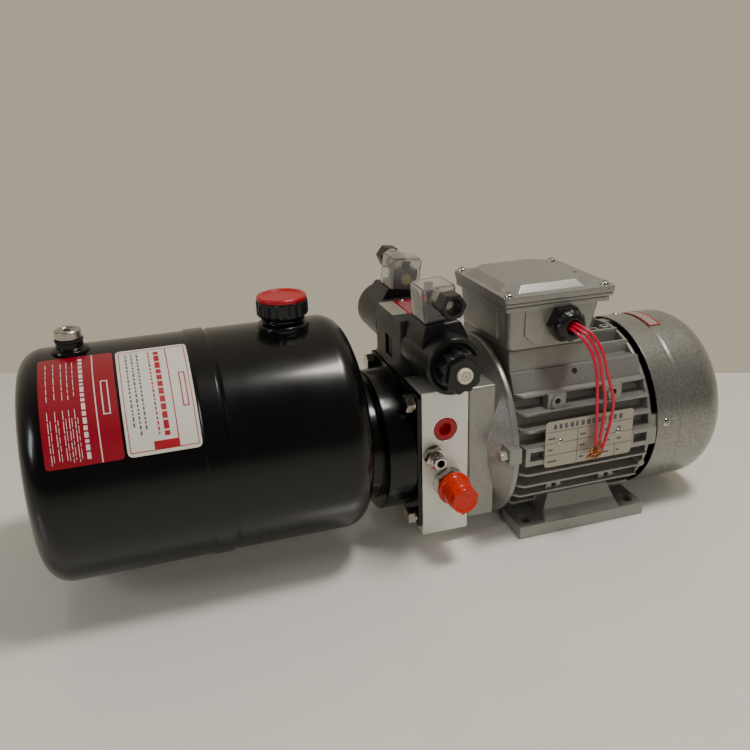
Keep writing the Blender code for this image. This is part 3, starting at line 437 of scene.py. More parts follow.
def screw_head(name, at, along, radius=4.0, height=2.4):
    """A pan head with a cross recess, its seat at a point."""
    head = lathe(name, [
        (0, height), (radius * 0.55, height * 0.93), (radius * 0.88, height * 0.62),
        (radius, 0.5), (radius, 0), (0, 0)], at, along, steps=32, soft=0.3)
    reach, width = radius * 0.55, radius * 0.12
    for u, v in ((reach, width), (width, reach)):
        carve(head, prism("recess", rectangle(-u, -v, u, v), height * 0.45, height + 1, edge=0,
                          at=at, turn=along))
    return head


def hex_solid(name, radius, low, high, at, along, chamfer=0.8, turn=0.0):
    """A hexagon whose outer end has a turned chamfer."""
    body = prism(name, hexagon(radius, turn), low, high, edge=0.25, at=at, turn=along)
    cone = lathe("chamfer", [
        (0, low - 5), (radius + 2, low - 5), (radius + 2, high - chamfer * 3),
        (radius * 0.90, high + 0.01), (0, high + 0.01)], at, along, steps=48, soft=0)
    return carve(body, cone, operation="INTERSECT")


# ---------------------------------------------------------------- leads
LEAD_R, ROUTE_STEP = 0.0013, 0.004
# Where each loose lead runs, in metres from the datum: the same points as in the CAD.
LEAD_ROUTES = [
    [(0.1240, -0.0600, 0.1790), (0.1244, -0.0690, 0.1790), (0.1275, -0.0770, 0.1745),
     (0.1325, -0.0830, 0.1650), (0.1357, -0.0862, 0.1520), (0.1372, -0.0878, 0.1380),
     (0.1378, -0.0882, 0.1220), (0.1388, -0.0884, 0.1080), (0.1391, -0.0884, 0.0960),
     (0.1393, -0.0884, 0.0840)],
    [(0.1258, -0.0600, 0.1812), (0.1262, -0.0695, 0.1812), (0.1300, -0.0785, 0.1775),
     (0.1355, -0.0845, 0.1670), (0.1387, -0.0875, 0.1550), (0.1411, -0.0885, 0.1417),
     (0.1434, -0.0890, 0.1320), (0.1447, -0.0890, 0.1230), (0.1446, -0.0890, 0.1110),
     (0.1440, -0.0890, 0.1010), (0.1426, -0.0890, 0.0905)],
    [(0.1278, -0.0600, 0.1832), (0.1283, -0.0700, 0.1832), (0.1326, -0.0800, 0.1795),
     (0.1386, -0.0860, 0.1690), (0.1423, -0.0885, 0.1570), (0.1454, -0.0890, 0.1453),
     (0.1494, -0.0895, 0.1330), (0.1520, -0.0895, 0.1226), (0.1518, -0.0895, 0.1110),
     (0.1502, -0.0895, 0.1010), (0.1473, -0.0900, 0.0905), (0.1443, -0.0908, 0.0820)],
]
STRANDS, STRAND_R, STRAND_POINTS = 16, 0.00030, 8
STRANDS_MEET = Vector((0.1388, -0.0903, 0.0788))   # where the three bare ends bunch up
# How far a strand's tip and its bow can be off, along X, Y and Z.
TIP_SPREAD = ((-0.0085, 0.0060), (-0.0015, 0.0010), (-0.0050, 0.0042))
BOW_SPREAD = ((-0.003, 0.003), (-0.0015, 0.0), (-0.003, 0.002))


def smooth_route(points):
    """A Catmull-Rom curve through the points, read at about even spacing."""
    ends = [points[0], *points, points[-1]]
    route = []
    for i in range(len(points) - 1):
        a, b, c, d = (Vector(p) for p in ends[i:i + 4])
        steps = max(1, round((c - b).length / ROUTE_STEP))
        for step in range(steps):
            t = step / steps
            route.append(0.5 * (2 * b + (c - a) * t + (2 * a - 5 * b + 4 * c - d) * t ** 2
                                + (3 * b - a - 3 * c + d) * t ** 3))
    route.append(Vector(points[-1]))
    return route


def wire(name, routes, radius):
    """A round wire, or several as one object, along points in metres from the datum."""
    curve = bpy.data.curves.new(name, "CURVE")
    curve.dimensions = "3D"
    curve.bevel_depth = radius
    curve.bevel_resolution = 4
    curve.use_fill_caps = True
    for route in routes:
        spline = curve.splines.new("POLY")
        spline.points.add(len(route) - 1)
        for point, spot in zip(spline.points, route):
            point.co = (*spot, 1.0)
        spline.use_smooth = True
    obj = bpy.data.objects.new(name, curve)
    bpy.context.scene.collection.objects.link(obj)
    obj.location = DATUM
    return obj


def make_strands(rng, end, ahead):
    """Copper strands that splay from a lead's bare end."""
    routes = []
    for _ in range(STRANDS):
        tip = STRANDS_MEET + Vector([rng.uniform(*limits) for limits in TIP_SPREAD])
        bow = Vector([rng.uniform(*limits) for limits in BOW_SPREAD])
        spots = []
        for k in range(STRAND_POINTS):
            t = k / (STRAND_POINTS - 1)
            spots.append(end + 0.08 * bow + (tip - end) * t * t + (ahead + bow) * t * (1 - t) * 2)
        routes.append(spots)
    return routes


def make_leads():
    rng = random.Random(5)
    for number, points in enumerate(LEAD_ROUTES, 1):
        route = smooth_route(points)
        lead = wire(f"lead_{number}_insulation", [route], LEAD_R)
        settle(lead, "insulation", replaces=f"lead_{number}")
        ahead = (route[-1] - route[-3]).normalized() * 0.004
        strands = wire(f"lead_{number}_strands", make_strands(rng, route[-1], ahead), STRAND_R)
        settle(strands, "copper")


make_camera()
make_leads()


# ---------------------------------------------------------------- tank
TANK_R, TANK_Z, TANK_WALL = 88.8, 103.4, 1.5
TANK_LEFT, TANK_RIGHT = -292.4, -43.0
TANK_SHOULDER, TANK_CROWN = 19.0, 1.6
LAP = 1.0                         # the left cup's bell stands out by this, the right cup's end in
LEFT_MOUTH, BELL_FROM, BELL_TO = -154.3, -170.0, -168.5
RIGHT_MOUTH, JOGGLE_FROM, JOGGLE_TO = -164.3, -150.5, -152.5
FILLER_X, LEVEL_X = -93.1, -251.1
FILLER_AT, LEVEL_AT = (FILLER_X, 0, 0), (LEVEL_X, 0, 0)


def cup(name, along, end, slope, step, mouth, lap):
    """A drawn cup with a round shoulder. Its wall is stepped by lap between slope and step, which
    lie with its mouth along its own axis."""
    centre = (TANK_R - TANK_SHOULDER, end + TANK_CROWN + TANK_SHOULDER)
    rim = TANK_R + lap
    profile = [(0, end + TANK_WALL), *arc(centre, TANK_SHOULDER - TANK_WALL, -90, 0, 12),
               (TANK_R - TANK_WALL, slope), (rim - TANK_WALL, step), (rim - TANK_WALL, mouth),
               (rim, mouth), (rim, step), (TANK_R, slope),
               *arc(centre, TANK_SHOULDER, 0, -90, 16), (0, end)]
    return lathe(name, profile, (0, 0, TANK_Z), along, steps=160, soft=0.6)


def bung(name, at, node, profile, steps=72):
    """A turned bung whose underside follows the tank's wall."""
    turned = lathe(name, profile, at, steps=steps, closed=True)
    wall = drum("wall", TANK_R + 0.2, TANK_LEFT, TANK_RIGHT, (0, 0, TANK_Z), "+X", steps=160)
    settle(carve(turned, wall), "enamel", replaces=node)


def make_tank():
    top = TANK_Z + TANK_R
    left = cup("tank_left_cup", "+X", TANK_LEFT, BELL_FROM, BELL_TO, LEFT_MOUTH, LAP)
    carve(left, drum("level_hole", 7, -10, 10, (LEVEL_X, 0, top)))
    settle(left, "enamel", replaces="tank_left_shell")
    right = cup("tank_right_cup", "-X", -TANK_RIGHT, -JOGGLE_FROM, -JOGGLE_TO, -RIGHT_MOUTH, -LAP)
    carve(right, drum("filler_hole", 13, -10, 10, (FILLER_X, 0, top)),
          drum("neck_hole", 42, -30, 20, (TANK_RIGHT, 0, SHAFT_Z), "+X"))
    settle(right, "enamel", replaces="tank_right_shell")
    bung("filler_bung_turned", FILLER_AT, "filler_bung", [
        (13.0, 199.0), (15.0, 199.0), (17.0, 198.5), (17.0, 196.5), (15.5, 195.8), (15.8, 195.2),
        (19.4, 194.2), (20.5, 192.6), (20.5, 184.0), (13.0, 184.0)])
    bung("level_bung_turned", LEVEL_AT, "level_bung", [
        (7.0, 199.5), (9.8, 199.5), (9.8, 195.6), (10.6, 194.9), (13.2, 194.0), (13.8, 192.6),
        (13.8, 186.0), (7.0, 186.0)], steps=64)


def make_cap_and_plug():
    """The filler's ribbed cap with its red disc, and the knurled level plug."""
    skirt = lathe("filler_cap_skirt", [
        (0, 212.6), (18.6, 212.6), (19.8, 212.3), (20.2, 211.4), (20.2, 202.2), (19.4, 200.8),
        (12.5, 200.8), (12.5, 188.0), (0, 188.0)], FILLER_AT, steps=240, soft=0.4,
        wave=(20, 0.9, 202.0, 212.4, 19.7))
    settle(skirt, "moulded", "filler_cap_body", "filler_cap")
    disc = lathe("filler_cap_disc", [
        (0, 215.1), (14.6, 215.1), (15.2, 216.0), (18.4, 216.0), (19.3, 215.0), (19.3, 212.7),
        (0, 212.7)], FILLER_AT, soft=0.3)
    settle(disc, "plug_red", "filler_cap_body")
    plug = lathe("level_plug_turned", [
        (0, 207.6), (5.4, 207.6), (5.9, 208.35), (8.6, 208.35), (9.4, 207.5), (9.4, 202.4),
        (8.9, 201.5), (6.5, 201.5), (6.5, 189.0), (0, 189.0)], LEVEL_AT, steps=192, soft=0.3,
        wave=(64, 0.12, 203.0, 206.8, 9.3))
    carve(plug, prism("socket", hexagon(3.0), 204.0, 210.0, edge=0, at=LEVEL_AT))
    settle(plug, "zinc", "level_plug_body", "level_plug")


# ---------------------------------------------------------------- labels on the tank
LABEL_LOW, LABEL_HIGH = 22.6, 80.6            # degrees round the tank, from the front up
RED_LABEL, WHITE_LABEL = (-273.1, -222.6), (-220.6, -170.6)
FILM_T, FILM_LIFT, PRINT_LIFT = 0.12, 0.25, 0.33
DEGREES_A_STEP = 2.5


def spaced(low, high, count):
    return [low + (high - low) * k / count for k in range(count + 1)]


def curved_patch(bm, x0, x1, angles, outer, thickness, middle, inset=lambda angle: 0.0):
    """A thin patch on a round wall. Angles run from 0 at the front to 90 on top."""
    rows = []
    for angle in angles:
        a, cut = math.radians(angle), inset(angle)
        rows.append([bm.verts.new((x, -r * math.cos(a), middle + r * math.sin(a)))
                     for x, r in ((x0 + cut, outer), (x1 - cut, outer),
                                  (x1 - cut, outer - thickness), (x0 + cut, outer - thickness))])
    for a, b in zip(rows, rows[1:]):
        for k in range(4):
            bm.faces.new((a[k], a[(k + 1) % 4], b[(k + 1) % 4], b[k]))
    bm.faces.new(rows[0])
    bm.faces.new(rows[-1])


def wrapped(name, patches, lift, corner=0.0):
    """Thin patches on the tank's wall, as one object. Each is (x0, x1, low angle, high angle)."""
    bm = bmesh.new()
    outer = TANK_R + lift
    per_degree = math.radians(1) * outer
    for x0, x1, low, high in patches:
        def inset(angle):
            past = max(0.0, corner - min(angle - low, high - angle) * per_degree)
            return corner - math.sqrt(max(0.0, corner ** 2 - past ** 2))

        stops = spaced(low, high, max(2, round((high - low) / DEGREES_A_STEP)))
        if corner:
            near = [corner / per_degree * share for share in (0.1, 0.3, 0.6, 1.0)]
            stops = sorted({*stops, *(low + s for s in near), *(high - s for s in near)})
        curved_patch(bm, x0, x1, stops, outer, FILM_T, TANK_Z, inset)
    return solid(name, bm)


def frame_patches(x0, x1, low, high, width):
    """Four patches along a rectangle's sides."""
    tall = width / (math.radians(1) * TANK_R)
    return [(x0, x0 + width, low, high), (x1 - width, x1, low, high),
            (x0, x1, low, low + tall), (x0, x1, high - tall, high)]


def dashes(rng, x, width, low, high, mean):
    """A column of short marks in place of a line of print."""
    marks = []
    angle = high
    while angle > low + 1.0:
        tall = rng.uniform(0.6, 1.6) * mean
        marks.append((x, x + width, max(low, angle - tall), angle))
        angle -= tall + 0.8
    return marks


def make_labels():
    """Two labels with dashes for print. Each column is (x, width, low angle, high angle, mean)."""
    rng = random.Random(3)
    low, high = LABEL_LOW, LABEL_HIGH
    settle(wrapped("label_left", [(*RED_LABEL, low, high)], FILM_LIFT, 2.5), "label_red")
    settle(wrapped("label_right", [(*WHITE_LABEL, low, high - 0.4)], FILM_LIFT, 3.5),
           "label_white")

    pale = [(-237.2, -236.4, low + 0.2, high - 0.2)]
    columns = [(-246.2, 2.6, 24.0, 78.0, 2.0)]
    for x in (-268.6, -263.6, -258.6, -254.8, -251.0):
        columns += [(x, 0.45, 24.5, 48.0, 3.6), (x + 0.5, 0.45, 53.0, 76.0, 3.0),
                    (x + 1.7, 0.35, 25.5, 44.0, 3.0)]
    for column in columns:
        pale += dashes(rng, *column)
    pale += frame_patches(-232.6, -227.6, 43.5, 61.0, 0.8)
    settle(wrapped("label_left_print", pale, PRINT_LIFT), "ink_pale")

    white_x, white_end = WHITE_LABEL
    red = frame_patches(white_x + 1.9, white_end - 1.9, low + 1.6, high - 2.0, 0.55)
    red += [(-186.2, -185.5, low + 1.6, high - 2.0), (-202.6, -186.0, 24.2, 28.2)]
    red += dashes(rng, -194.6, 3.6, 30.0, 76.0, 2.6)
    red += dashes(rng, -198.6, 1.1, 30.0, 76.0, 1.3)
    red += frame_patches(-179.6, -175.2, 42.0, 60.0, 0.9)
    settle(wrapped("label_right_print_red", red, PRINT_LIFT), "ink_red")
    grey = []
    for x, end in ((-206.6, 34.0), (-210.4, 30.5), (-214.4, 35.0)):
        grey += dashes(rng, x, 1.2, end, 76.5, 1.3)
    settle(wrapped("label_right_print_grey", grey, PRINT_LIFT), "ink_grey")


# ---------------------------------------------------------------- neck and its bolts
FLANGE_HALF, FLANGE_T, BOLT_OFFSET = 59.0, 3.8, 50.9
NECK_BORE = 42


def make_neck():
    z0, z1 = SHAFT_Z - FLANGE_HALF, SHAFT_Z + FLANGE_HALF
    flange = prism("neck_flange", rectangle(-FLANGE_HALF, z0, FLANGE_HALF, z1, 3.0),
                   -FLANGE_T - 0.3, -0.3, "X", edge=0.7)
    carve(flange, drum("flange_bore", NECK_BORE, -10, 5, SHAFT, "+X"))
    neck = lathe("neck_turned", [
        (NECK_BORE, -4.2), (59.9, -4.2), (59.9, -27.3), (57.6, -28.2), (50.0, -28.6),
        (50.0, -39.6), (52.4, -42.6), (NECK_BORE, -42.6)], SHAFT, "+X", steps=128, soft=0.9,
        closed=True)
    settle(weld(neck, flange), "enamel", replaces="tank_neck")


def make_bolts():
    for number, (side, level) in enumerate(QUADRANTS, 1):
        at = (-FLANGE_T - 0.6, side * BOLT_OFFSET, SHAFT_Z + level * BOLT_OFFSET)
        head = hex_solid(f"bolt_{number}_head", 7.5, 2.1, 7.5, at, "-X", turn=12 * number)
        spring = tube("spring_washer", 6.6, 4.2, 0.0, 2.0, at, "-X", steps=40, soft=0.4)
        shank = drum("shank", 4.0, -20, 2.2, at, "-X", steps=32)
        settle(weld(head, spring, shank), "zinc", replaces=f"flange_bolt_{number}")


# ---------------------------------------------------------------- manifold block and ports
BLOCK_X, BLOCK_Y, BLOCK_LOW, BLOCK_TOP = 40.0, 58.0, 12.2, 140.4
PORT_PLUG, ADAPTOR, OUTLET = (20.2, 0, 106.4), (9.9, 0, 85.0), (22.4, 0, 59.5)


def make_block():
    block = box("manifold_block_milled", (0, -BLOCK_Y, BLOCK_LOW), (BLOCK_X, BLOCK_Y, BLOCK_TOP), 0.9)

    def port(name, centre, profile):
        return lathe(name, profile, (centre[0], -BLOCK_Y, centre[2]), "+Y", steps=64, soft=0)

    carve(block,
          port("plug_port", PORT_PLUG, [(0, -2), (10.2, -2), (10.2, 0), (10.0, 0.3), (10.0, 9.5),
                                        (5.5, 9.5), (5.5, 24), (0, 24)]),
          port("adaptor_port", ADAPTOR, [(0, -2), (6.5, -2), (6.5, 13), (0, 13)]),
          port("outlet_port", OUTLET, [(0, -2), (10.5, -2), (10.5, 13), (0, 13)]),
          drum("coupling_bore", 26, 10.5, 45, SHAFT, "+X"),
          drum("pump_shaft_hole", 6.2, -2, 20, SHAFT, "+X"))
    bores = [drum("bolt_bore", 4.3, -2, 17.5,
                  (0, side * BOLT_OFFSET, SHAFT_Z + level * BOLT_OFFSET), "+X", steps=32)
             for side, level in QUADRANTS]
    settle(carve(block, *bores), "machined", replaces="manifold_block")


def fitting(node, at, hexagon_r, seat, turn, washer_r, thread_r, bore, stem):
    """A hexagon on a washer, with a turned stem through both."""
    hexes = hex_solid(f"{node}_hex", hexagon_r, seat + 0.1, 66.0, at, "-Y", turn=turn)
    washer = tube("washer", washer_r, thread_r, 58.2, seat, at, "-Y", steps=64)
    stem = lathe("stem", stem, at, "-Y", steps=64, soft=0.3, closed=True)
    carve(hexes, drum("bore", bore, 40, 80, at, "-Y"))
    settle(weld(hexes, washer, stem), "bright", replaces=node)


def make_ports():
    plug = lathe("port_plug_moulded", [
        (0, 50.2), (4.6, 50.2), (4.8, 57.0), (5.8, 57.75), (9.2, 57.75), (9.7, 57.2), (9.7, 49.0),
        (0, 49.0)], PORT_PLUG, "-Y", steps=64, soft=0.4)
    settle(plug, "plug_red", "port_plug_body", "port_plug")
    fitting("gauge_adaptor", ADAPTOR, 9.2, 59.2, 8, 9.6, 6.3, 6.1, [
        (6.2, 46.2), (6.2, 67.0), (5.9, 68.4), (4.6, 69.6), (4.6, 70.0), (5.6, 70.6), (5.6, 73.2),
        (4.9, 74.0), (3.2, 74.0), (3.2, 46.2)])
    fitting("outlet_fitting", OUTLET, 13.5, 59.5, 30, 13.2, 10.2, 9.9, [
        (10.0, 46.2), (10.0, 65.5), (8.5, 66.5), (8.5, 84.4), (7.9, 85.0), (5.0, 85.0),
        (5.0, 46.2)])
    cap = lathe("outlet_cap_moulded", [
        (0, 93.4), (7.6, 93.4), (8.4, 94.0), (10.0, 94.0), (10.8, 93.2), (10.8, 88.2),
        (11.4, 87.2), (11.8, 86.0), (11.8, 74.6), (12.6, 73.2), (14.0, 72.6), (14.0, 70.0),
        (8.9, 70.0), (8.9, 88.0), (0, 88.0)], OUTLET, "-Y", steps=96, soft=0.5)
    nubs = [drum("nub", 1.4, 86.0, 94.0, (OUTLET[0] + u, 0, OUTLET[2] + v), "-Y", steps=24, soft=0.5)
            for u, v in arc((0, 0), 10.3, 20, 260, 2)]
    settle(weld(cap, *nubs), "cap_orange", "outlet_cap_body", "outlet_cap")


# ---------------------------------------------------------------- solenoid valve
VALVE_X, VALVE_Y, VALVE_Z, VALVE_TOP = 18.9, 10.0, 167.0, 189.0
VALVE_AT = (VALVE_X, VALVE_Y, VALVE_Z)
VALVE_HALF_W, VALVE_HALF_L = 22.5, 32.0
COIL_R, COIL_START, COIL_END = 22.7, 32.3, 89.0
NUT_START, NUT_END, PIN_END = 89.3, 107.0, 110.0
PEDESTAL_TOP, CONNECTOR_TOP, BARREL_Z = 196.0, 223.9, 215.5
CONNECTOR_HALF, CONNECTOR_L, CONNECTOR_WALL, INSERT_HALF = 13.5, 29.5, 1.6, 10.6
BARREL_R, BARREL_L, BARREL_THREADS = 8.4, 13.0, 13
GLAND_NUT_R, GLAND_NUT_L = 10.1, 14.0
# side: the connector's distance from VALVE_Y, and the coil's lean in degrees
SOLENOIDS = {-1: (37.5, -3.5), 1: (29.0, 7.0)}


def make_valve():
    left, right = VALVE_X - VALVE_HALF_W, VALVE_X + VALVE_HALF_W
    low, high = VALVE_Y - VALVE_HALF_L, VALVE_Y + VALVE_HALF_L
    body = box("valve_body_block", (left, low, BLOCK_TOP + 0.3), (right, high, VALVE_TOP), 1.0)
    carve(body,
          drum("valve_bore", 6.5, -40, 40, VALVE_AT, "+Y"),
          box("valve_window", (left - 2, 0.5, 150), (left + 2.0, 18.0, 168.0), 0),
          box("valve_window_slot", (left - 2, 3.0, 152.5), (left + 6.0, 8.0, 165.5), 0))
    settle(body, "phosphate", replaces="valve_body")
    plate = prism("valve_name_plate", rectangle(left - 0.6, low + 16, left + 12.0, high - 10.0, 1.0),
                  VALVE_TOP + 0.05, VALVE_TOP + 0.9, edge=0.2)
    settle(plate, "foil")
    label = prism("valve_label", rectangle(left + 12.4, low + 15, right - 4, high - 9.0, 0.8),
                  VALVE_TOP + 0.05, VALVE_TOP + 0.55, edge=0.1)
    settle(label, "label_red")
    rows = []
    for k in range(7):
        y = low + 19 + 4.6 * k
        rows.append(box(f"valve_label_row_{k}", (left + 14.5, y, VALVE_TOP + 0.56),
                        (right - 7 - 3 * (k % 3), y + 0.7, VALVE_TOP + 0.62), 0))
    settle(weld(*rows), "ink_pale")
    rivet = (left + 20, high - 11, VALVE_TOP + 0.5)
    settle(drum("valve_rivet", 2.2, 0, 1.2, rivet, steps=32, soft=0.5), "bright")
    for side, (start, degrees) in SOLENOIDS.items():
        make_coil(side, degrees)
        make_connector(side, start, degrees)


def make_coil(side, degrees):
    """A coil with its pedestal, its scalloped nut and its override button."""
    name, along = SIDES[side], ACROSS[side]
    body = lathe(f"coil_{name}_moulding", [
        (9.1, COIL_END - 3.0), (17.0, COIL_END - 3.0), (17.8, COIL_END - 0.8), (19.6, COIL_END),
        (21.6, COIL_END), (COIL_R, COIL_END - 1.2), (COIL_R, COIL_START), (9.1, COIL_START)],
        VALVE_AT, along, steps=128, closed=True)

    def outline(half, far, z):
        y0, y1 = span(side, 34.0, far, VALVE_Y)
        return level(rectangle(VALVE_X - half, y0, VALVE_X + half, y1), z)

    pedestal = loft("pedestal", [
        outline(19.5, 74.5, VALVE_Z + 8), outline(18.6, 73.5, VALVE_Z + 16.5),
        outline(15.2, 71.0, PEDESTAL_TOP - 2.5), outline(13.4, 70.0, PEDESTAL_TOP)], 0.9)
    lean([pedestal], VALVE_AT, degrees)
    carve(pedestal, drum("pedestal_inside", 22.0, 30, 95, VALVE_AT, along, steps=128))
    settle(weld(body, pedestal), "moulded", replaces=f"coil_{name}")

    wheel = lathe(f"coil_nut_{name}_wheel", [
        (9.2, NUT_START), (14.6, NUT_START), (15.6, NUT_START + 1.2), (17.2, 101.0),
        (16.2, 103.4), (9.2, 103.4)], VALVE_AT, along, steps=192, closed=True,
        wave=(11, 1.9, NUT_START - 0.1, 103.5, 13.0))
    nose = hex_solid("nut_nose", 13.9, 102.5, NUT_END, VALVE_AT, along, 0.3, turn=20)
    carve(nose, drum("nut_bore", 9.2, 90, 104.0, VALVE_AT, along),
          drum("button_bore", 6.5, 95, 120, VALVE_AT, along))
    settle(weld(wheel, nose), "moulded", replaces=f"coil_nut_{name}")

    button = lathe(f"override_{name}_button", [
        (0, PIN_END - 1.6), (1.1, PIN_END - 1.6), (1.3, PIN_END - 0.2), (2.6, PIN_END - 0.2),
        (2.8, PIN_END - 1.2), (3.5, PIN_END - 1.2), (3.7, PIN_END - 0.1), (5.2, PIN_END - 0.1),
        (6.0, PIN_END - 0.8), (6.0, PIN_END - 5.0), (2.4, PIN_END - 5.0), (2.4, 78.0), (0, 78.0)],
        VALVE_AT, along, steps=64, soft=0.15)
    settle(button, "cream", f"override_{name}", f"override_pin_{name}")


def make_connector(side, start, degrees):
    """A clear plug connector with what shows through it, and its black gland nut."""
    name, along = SIDES[side], ACROSS[side]
    face = start + CONNECTOR_L
    bottom = PEDESTAL_TOP + 0.3
    barrel_at = (VALVE_X, VALVE_Y, BARREL_Z)

    def block(label, half, near, far, low, high, edge=0.5):
        return side_box(label, side, (VALVE_X - half, VALVE_X + half), (near, far), (low, high),
                        edge, VALVE_Y)

    shell = block(f"connector_{name}_shell", CONNECTOR_HALF, start, face, bottom, CONNECTOR_TOP, 2.2)
    carve(shell, drum("barrel", BARREL_R, face - 6, face + BARREL_L, barrel_at, along),
          operation="UNION")
    carve(shell, block("shaded_hollow", CONNECTOR_HALF - CONNECTOR_WALL, start + CONNECTOR_WALL,
                       face - CONNECTOR_WALL, bottom - 2, CONNECTOR_TOP - CONNECTOR_WALL, 1.0),
          drum("barrel_bore", 6.2, face - 8, face + BARREL_L + 2, barrel_at, along))
    settle(shell, "clear", replaces=f"connector_shell_{name}")

    threads = [(BARREL_R + 0.05 + 0.35 * (k % 2), face + 3.0 + 0.8 * k)
               for k in range(BARREL_THREADS)]
    sleeve = lathe(f"connector_{name}_sleeve", [
        *threads, (BARREL_R - 1.4, face + 12.6), (BARREL_R - 1.4, face + 3.0)], barrel_at, along,
        steps=64, soft=0, closed=True)
    settle(sleeve, "bright")

    insert = block(f"insert_{name}", INSERT_HALF, start + 2.6, start + 14.0, bottom, bottom + 17.5)
    foot = block("foot", INSERT_HALF, start + 2.6, face - 2.6, bottom, bottom + 5.0)
    riser = block("riser", 3.0, start + 4.0, start + 9.0, bottom + 17.0, bottom + 24.5)
    settle(weld(insert, foot, riser), "moulded", replaces=f"connector_insert_{name}")
    seal = drum(f"connector_{name}_seal", 4.6, -(start + 2.55), -(start + 1.95),
                (VALVE_X + 0.5, VALVE_Y, bottom + 9.0), ACROSS[-side], steps=48, soft=0.2)
    settle(seal, "lens_yellow")
    screws = weld(*(drum(f"connector_{name}_screws", 2.2, bottom + 17.2, bottom + 20.6,
                         (VALVE_X + shift, VALVE_Y + side * (start + 8.0), 0), steps=32)
                    for shift in (-6.4, 6.4)))
    settle(screws, "bright")
    lamp = lathe(f"connector_{name}_lamp", [(0, 0), (1.7, 0), (1.7, 4.0), (1.2, 5.2), (0, 5.6)],
                 (VALVE_X + 8.8 * side, VALVE_Y + side * (start + 20.0), bottom + 16.0), steps=32)
    settle(lamp, "lamp_red")

    nut_from = face + BARREL_L + 0.3
    nut = hex_solid(f"connector_{name}_gland", GLAND_NUT_R, nut_from, nut_from + GLAND_NUT_L,
                    barrel_at, along)
    recess = [(0, 0), (5.5, 0), (5.5, 30), (6.4, 38.5), (6.9, 60), (0, 60)]
    carve(nut, lathe("gland_recess", recess,
                     (VALVE_X, VALVE_Y + side * (face + BARREL_L - 24), BARREL_Z), along, soft=0))
    settle(nut, "moulded", replaces=f"connector_nut_{name}")
    lean([shell, sleeve, insert, seal, screws, lamp, nut], VALVE_AT, degrees)


# ---------------------------------------------------------------- motor
HOUSING_START, HOUSING_END = 76.0, 203.0
FIN_START, FIN_END, FIN_PITCH, FINS_A_SIDE = 79.6, 199.6, 13.0, 10
FIN_FOOT_R, FIN_TIP_R, FIN_FOOT_T = 63.0, 78.4, 4.4
TOP_FINS, TOP_FIN_T = (-33.5, -17.0, 17.0, 33.5), 3.0
SHELF = ((38, 140.5), (50.7, 142.4), (58.0, 127.2), (50, 121.0))
BAR_Y, BAR_LOW, BAR_TOP = 82.4, 72.2, 88.2
BOSS_Y = -5.0                     # the screw boss and the eye by the fan cover's upper edge


def fin(side, height):
    """A level fin that gets thinner towards its edge, with a slanted front end."""
    z = SHAFT_Z + height
    root, tip = (math.sqrt(r ** 2 - height ** 2) for r in (FIN_FOOT_R, FIN_TIP_R))

    def section(x, y, thick):
        return [(x, side * root, z - FIN_FOOT_T / 2), (x, side * y, z - thick / 2),
                (x, side * y, z + thick / 2), (x, side * root, z + FIN_FOOT_T / 2)]

    return loft("fin", [section(FIN_START, root + 0.65 * (tip - root), 3.4),
                        section(FIN_START + 6.0, tip, 2.6), section(FIN_END, tip, 2.2)], 0.7)


def top_details():
    """The terminal box's pad, the fins behind it, and a screw boss and an eye."""
    parts = [loft("terminal_pad", [level(rectangle(79.8, -49.0, 160.0, 49.0), 136.0),
                                   level(rectangle(80.6, -45.5, 157.0, 45.5), 159.7)], 1.4, 3)]
    for y in TOP_FINS:
        top = SHAFT_Z + math.sqrt(FIN_TIP_R ** 2 - y ** 2)
        parts.append(box("top_fin", (150.0, y - TOP_FIN_T / 2, 136.0),
                         (FIN_END, y + TOP_FIN_T / 2, top), 0.8))
    boss = drum("top_boss", 4.2, 140.0, 155.0, (194.5, BOSS_Y, 0), steps=40, soft=0.6)
    eye = box("top_eye", (178.0, BOSS_Y - 6, 140.0), (190.0, BOSS_Y + 6, 152.6), 0.6)
    carve(boss, drum("boss_hole", 2.1, 150, 160, (194.5, BOSS_Y, 0), steps=32))
    carve(eye, drum("eye_hole", 3.4, 146, 160, (184.5, BOSS_Y, 0), steps=32))
    return parts + [boss, eye]


def side_details(side):
    """The bar with its two pockets, two bosses, two ears, a peg and the foot's seat."""
    out = ACROSS[side]
    bar = side_box("side_bar", side, (FIN_START, FIN_END + 2.5), (60, BAR_Y), (BAR_LOW, BAR_TOP), 1.2)
    parts = [carve(bar, *(side_box("pocket", side, (x, x + 13.0), (74, 90), (76.6, 85.0), 0)
                          for x in (83.6, 179.6)))]
    for x in (113.6, 165.6):
        tab = side_box("tab", side, (x - 8.4, x + 8.4), (58, 68.8), (111.2, 126.6), 1.0)
        carve(tab, drum("boss", 6.4, 58, 70.6, (x + 0.6, 0, 118.9), out, steps=48, soft=0.8),
              operation="UNION")
        carve(tab, drum("boss_hole", 2.6, 60, 80, (x - 0.6, 0, 121.0), out, steps=32))
        parts.append(tab)
    for x in (119.0, 170.4):
        ear = prism("ear", [(x - 9, 33.5), (x + 9, 33.5), (x + 5, 44.0), (x - 5, 44.0)],
                    *span(side, 44, 61), "Y", 0.8)
        carve(ear, drum("ear_hole", 2.3, 30, 80, (x, 0, 38.4), out, steps=32))
        parts.append(ear)
    parts.append(drum("peg", 3.2, 60, 74.5, (196.0, 0, 51.0), out, steps=40, soft=0.8))
    parts.append(side_box("shoe", side, (106.0, 176.5), (34, 52), (12.0, 29.5), 1.0))
    return parts


